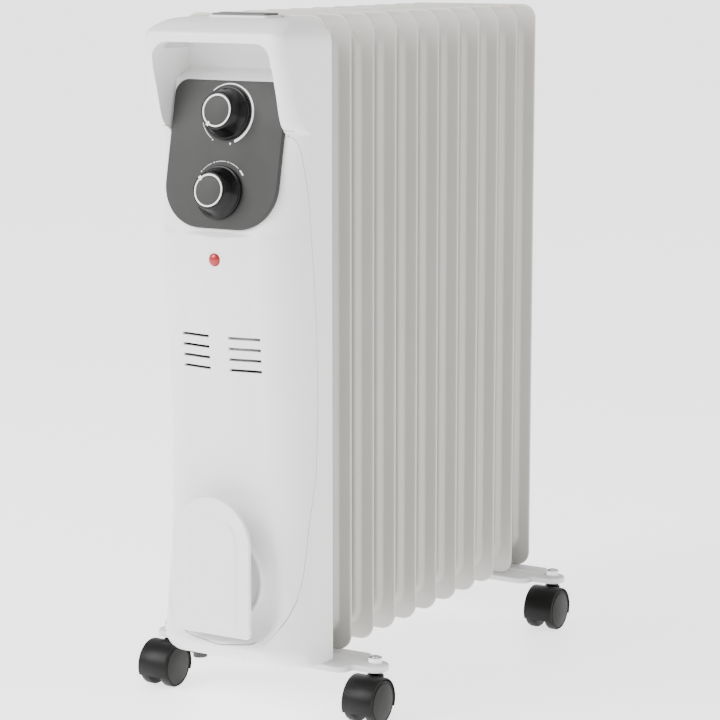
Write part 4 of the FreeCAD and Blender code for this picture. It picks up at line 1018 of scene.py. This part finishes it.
class RADIATOR_OT_casters(bpy.types.Operator):
    """Make the hoods and wheels of the four casters"""
    bl_idname = "radiator.casters"
    bl_label = "Casters"

    def execute(self, context):
        sizes = context.scene.radiator_casters
        for corner in CORNERS:
            self.hood(sizes, corner)
            for side, sign in (("left", -1), ("right", 1)):
                self.wheel(sizes, corner, side, sign)
        return {"FINISHED"}

    def hood(self, sizes, corner):
        """The hood over both wheels, cut off below, with the collar that holds the stem."""
        low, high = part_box(f"caster_{corner}_hood")
        wheel_low, wheel_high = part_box(f"caster_{corner}_wheel_left")
        centre = Vector(((low.x + high.x) / 2, (wheel_low.y + wheel_high.y) / 2,
                         (wheel_low.z + wheel_high.z) / 2))
        swivel = Vector(JOINTS[f"caster_{corner}_swivel"]["pos_m"])
        radius = centre.y - low.y
        half = (high.x - low.x) / 2
        inner = radius - sizes.shell
        shape = bmesh.new()
        profile = [(sizes.bore, -sizes.web), (inner, -sizes.web), (inner, -half), (radius - 0.9 * MM, -half),
                   (radius - 0.25 * MM, -half + 0.3 * MM), (radius, -half + 1.0 * MM)]
        profile += [(out, -along) for out, along in reversed(profile)]
        profile.append(profile[0])
        turned(shape, profile, (1, 0, 0), centre, 72)
        tidy(shape)
        trim(shape, (0, 0, sizes.skirt), (0, 0, 1))
        piece = to_object(f"caster_{corner}_hood_shell", shape)
        collar = bmesh.new()
        foot = high.z - centre.z
        neck = sizes.collar
        turned(collar, ((0, 6 * MM), (neck + 1.6 * MM, 6 * MM), (neck + 1.6 * MM, foot - 3 * MM),
                        (neck, foot - 1.4 * MM), (neck, foot - 0.5 * MM), (neck - 0.5 * MM, foot), (0, foot)),
               (0, 0, 1), Vector((swivel.x, swivel.y, centre.z)), 40)
        carve(piece, collar, "UNION")
        settle(piece, "caster_plastic", f"caster_{corner}", [f"caster_{corner}_hood"])

    def wheel(self, sizes, corner, side, sign):
        """A wheel with a rounded tread and a groove round its outer face."""
        name = f"caster_{corner}_wheel_{side}"
        low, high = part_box(name)
        centre = (low + high) / 2
        radius = (high.z - low.z) / 2
        half = (high.x - low.x) / 2
        face, groove, bore = sizes.face, sizes.groove, sizes.bore
        profile = ((bore, -half), (radius - 2.4 * MM, -half), (radius - 0.7 * MM, -half + 0.5 * MM),
                   (radius, -half + 1.8 * MM), (radius, half - 1.8 * MM),
                   (radius - 0.7 * MM, half - 0.5 * MM), (face + groove * 1.6, half - 0.3 * MM),
                   (face + groove, half - groove), (face + 0.2 * MM, half - groove),
                   (face - 0.2 * MM, half - 0.25 * MM), (face - 1 * MM, half), (bore, half + 0.3 * MM),
                   (0, half + 0.35 * MM), (0, half + 0.1 * MM), (bore, half + 0.1 * MM), (bore, -half))
        shape = bmesh.new()
        turned(shape, profile, (sign, 0, 0), centre, 64)
        settle(to_object(name + "_tread", shape), "caster_wheel", f"caster_{corner}_{side}_wheel", [name])


class RADIATOR_OT_grille(bpy.types.Operator):
    """Make the slotted grille in the roof"""
    bl_idname = "radiator.grille"
    bl_label = "Grille"

    def execute(self, context):
        shape = bmesh.new()
        points = [Vector((across, along, GRILLE_LOW.z)) for across, along in
                  rounded(GRILLE_HIGH.x, GRILLE_LOW.y, GRILLE_HIGH.y, 1.6 * MM, 1.6 * MM, 5)]
        slab(shape, points, Vector((0, 0, GRILLE_HIGH.z - GRILLE_LOW.z)))
        soften(shape, 0.8 * MM, angle=60)
        piece = to_object("roof_grille", shape)
        slots = bmesh.new()
        pitch = GRILLE_HIGH.x * 2 / (GRILLE_SLOTS + 1)
        for place in range(1, GRILLE_SLOTS + 1):
            middle = -GRILLE_HIGH.x + pitch * place
            block(slots, (middle - 1.2 * MM, GRILLE_LOW.y + 4 * MM, GRILLE_LOW.z + 0.8 * MM),
                  (middle + 1.2 * MM, GRILLE_HIGH.y - 4 * MM, GRILLE_HIGH.z + 2 * MM))
        carve(piece, slots)
        settle(piece, "grille_plastic", replaces=["top_grille"])
        return {"FINISHED"}


class RADIATOR_OT_metalwork(bpy.types.Operator):
    """Paint every piece that keeps its CAD shape"""
    bl_idname = "radiator.metalwork"
    bl_label = "Metalwork"

    def execute(self, context):
        for name, node in frame["nodes"].items():
            finish = finish_for(RECORD_SLOTS[name])
            if not node.material_slots:
                node.data.materials.append(finish)
            for slot in node.material_slots:
                slot.material = finish
        return {"FINISHED"}


class RADIATOR_OT_stage(bpy.types.Operator):
    """Make the floor, the lights and the camera"""
    bl_idname = "radiator.stage"
    bl_label = "Stage"

    def execute(self, context):
        stage = context.scene.radiator_stage
        self.floor(stage)
        self.surroundings(context.scene, stage)
        aim = Vector((0, 0, 0.32))
        self.softbox("key", stage.key, Vector((-1.5, -2.2, 1.9)), aim, 1.8)
        self.softbox("fill", stage.fill, Vector((2.4, -0.9, 1.3)), aim, 1.8)
        self.softbox("top", stage.top, Vector((0.2, 0.1, 2.6)), aim, 2.0)
        self.camera(context.scene, stage)
        return {"FINISHED"}

    def floor(self, stage):
        """A wide pale floor that gives off a little light."""
        shape = bmesh.new()
        bmesh.ops.create_grid(shape, x_segments=1, y_segments=1, size=30)
        floor = to_object("floor", shape)
        finish = moulded("floor_finish", stage.floor, 0.32, grain=60, depth=0.0002, mottle=0.004)
        shader = finish.node_tree.nodes["Principled BSDF"]
        shader.inputs["Emission Color"].default_value = (1, 1, 1, 1)
        shader.inputs["Emission Strength"].default_value = stage.glow
        floor.data.materials.append(finish)

    def surroundings(self, scene, stage):
        """An even white light from all round."""
        world = bpy.data.worlds.new("studio")
        world.use_nodes = True
        background = world.node_tree.nodes["Background"]
        background.inputs["Color"].default_value = (1, 1, 1, 1)
        background.inputs["Strength"].default_value = stage.sky
        scene.world = world

    def softbox(self, name, watts, place, aim, size):
        """A square light at a place, turned to face the aim."""
        light = bpy.data.lights.new(name, "AREA")
        light.energy = watts
        light.size = size
        lamp = bpy.data.objects.new(name, light)
        lamp.location = place
        lamp.rotation_euler = (place - aim).to_track_quat("Z", "Y").to_euler()
        bpy.context.scene.collection.objects.link(lamp)

    def camera(self, scene, stage):
        """The scene's camera, facing its target from the azimuth and elevation."""
        back = Vector((math.sin(stage.azimuth) * math.cos(stage.elevation),
                       -math.cos(stage.azimuth) * math.cos(stage.elevation), math.sin(stage.elevation)))
        view = bpy.data.cameras.new("view")
        view.sensor_width = 36
        view.lens = stage.lens
        view.clip_end = 200
        camera = bpy.data.objects.new("view", view)
        camera.location = Vector((stage.target_x, stage.target_y, stage.target_z)) + back * stage.distance
        camera.rotation_euler = back.to_track_quat("Z", "Y").to_euler()
        scene.collection.objects.link(camera)
        scene.camera = camera


GROUPS = {"radiator_colours": RadiatorColours, "radiator_housing": HousingSizes,
          "radiator_fins": FinSizes, "radiator_control": ControlSizes, "radiator_wrap": WrapSizes,
          "radiator_feet": FootSizes, "radiator_casters": CasterSizes, "radiator_stage": StageSizes}
OPERATORS = (RADIATOR_OT_metalwork, RADIATOR_OT_housing, RADIATOR_OT_fins, RADIATOR_OT_controls,
             RADIATOR_OT_cord_wrap, RADIATOR_OT_feet, RADIATOR_OT_casters, RADIATOR_OT_grille,
             RADIATOR_OT_stage)


class RADIATOR_PT_panel(bpy.types.Panel):
    """Lists the radiator's operators and sizes"""
    bl_label = "Radiator"
    bl_idname = "RADIATOR_PT_panel"
    bl_space_type = "VIEW_3D"
    bl_region_type = "UI"
    bl_category = "Radiator"

    def draw(self, context):
        for operator in OPERATORS:
            self.layout.operator(operator.bl_idname)
        for group in GROUPS:
            box = self.layout.box()
            values = getattr(context.scene, group)
            for prop in values.bl_rna.properties:
                if prop.identifier not in ("name", "rna_type"):
                    box.prop(values, prop.identifier)


def register():
    for name, group in GROUPS.items():
        bpy.utils.register_class(group)
        setattr(bpy.types.Scene, name, PointerProperty(type=group))
    for operator in OPERATORS:
        bpy.utils.register_class(operator)
    bpy.utils.register_class(RADIATOR_PT_panel)


def unregister():
    bpy.utils.unregister_class(RADIATOR_PT_panel)
    for operator in reversed(OPERATORS):
        bpy.utils.unregister_class(operator)
    for name, group in reversed(GROUPS.items()):
        delattr(bpy.types.Scene, name)
        bpy.utils.unregister_class(group)


def main():
    """Makes every piece."""
    register()
    for step in ("metalwork", "housing", "fins", "controls", "cord_wrap", "feet", "casters", "grille",
                 "stage"):
        getattr(bpy.ops.radiator, step)()


if __name__ == "__main__":
    main()
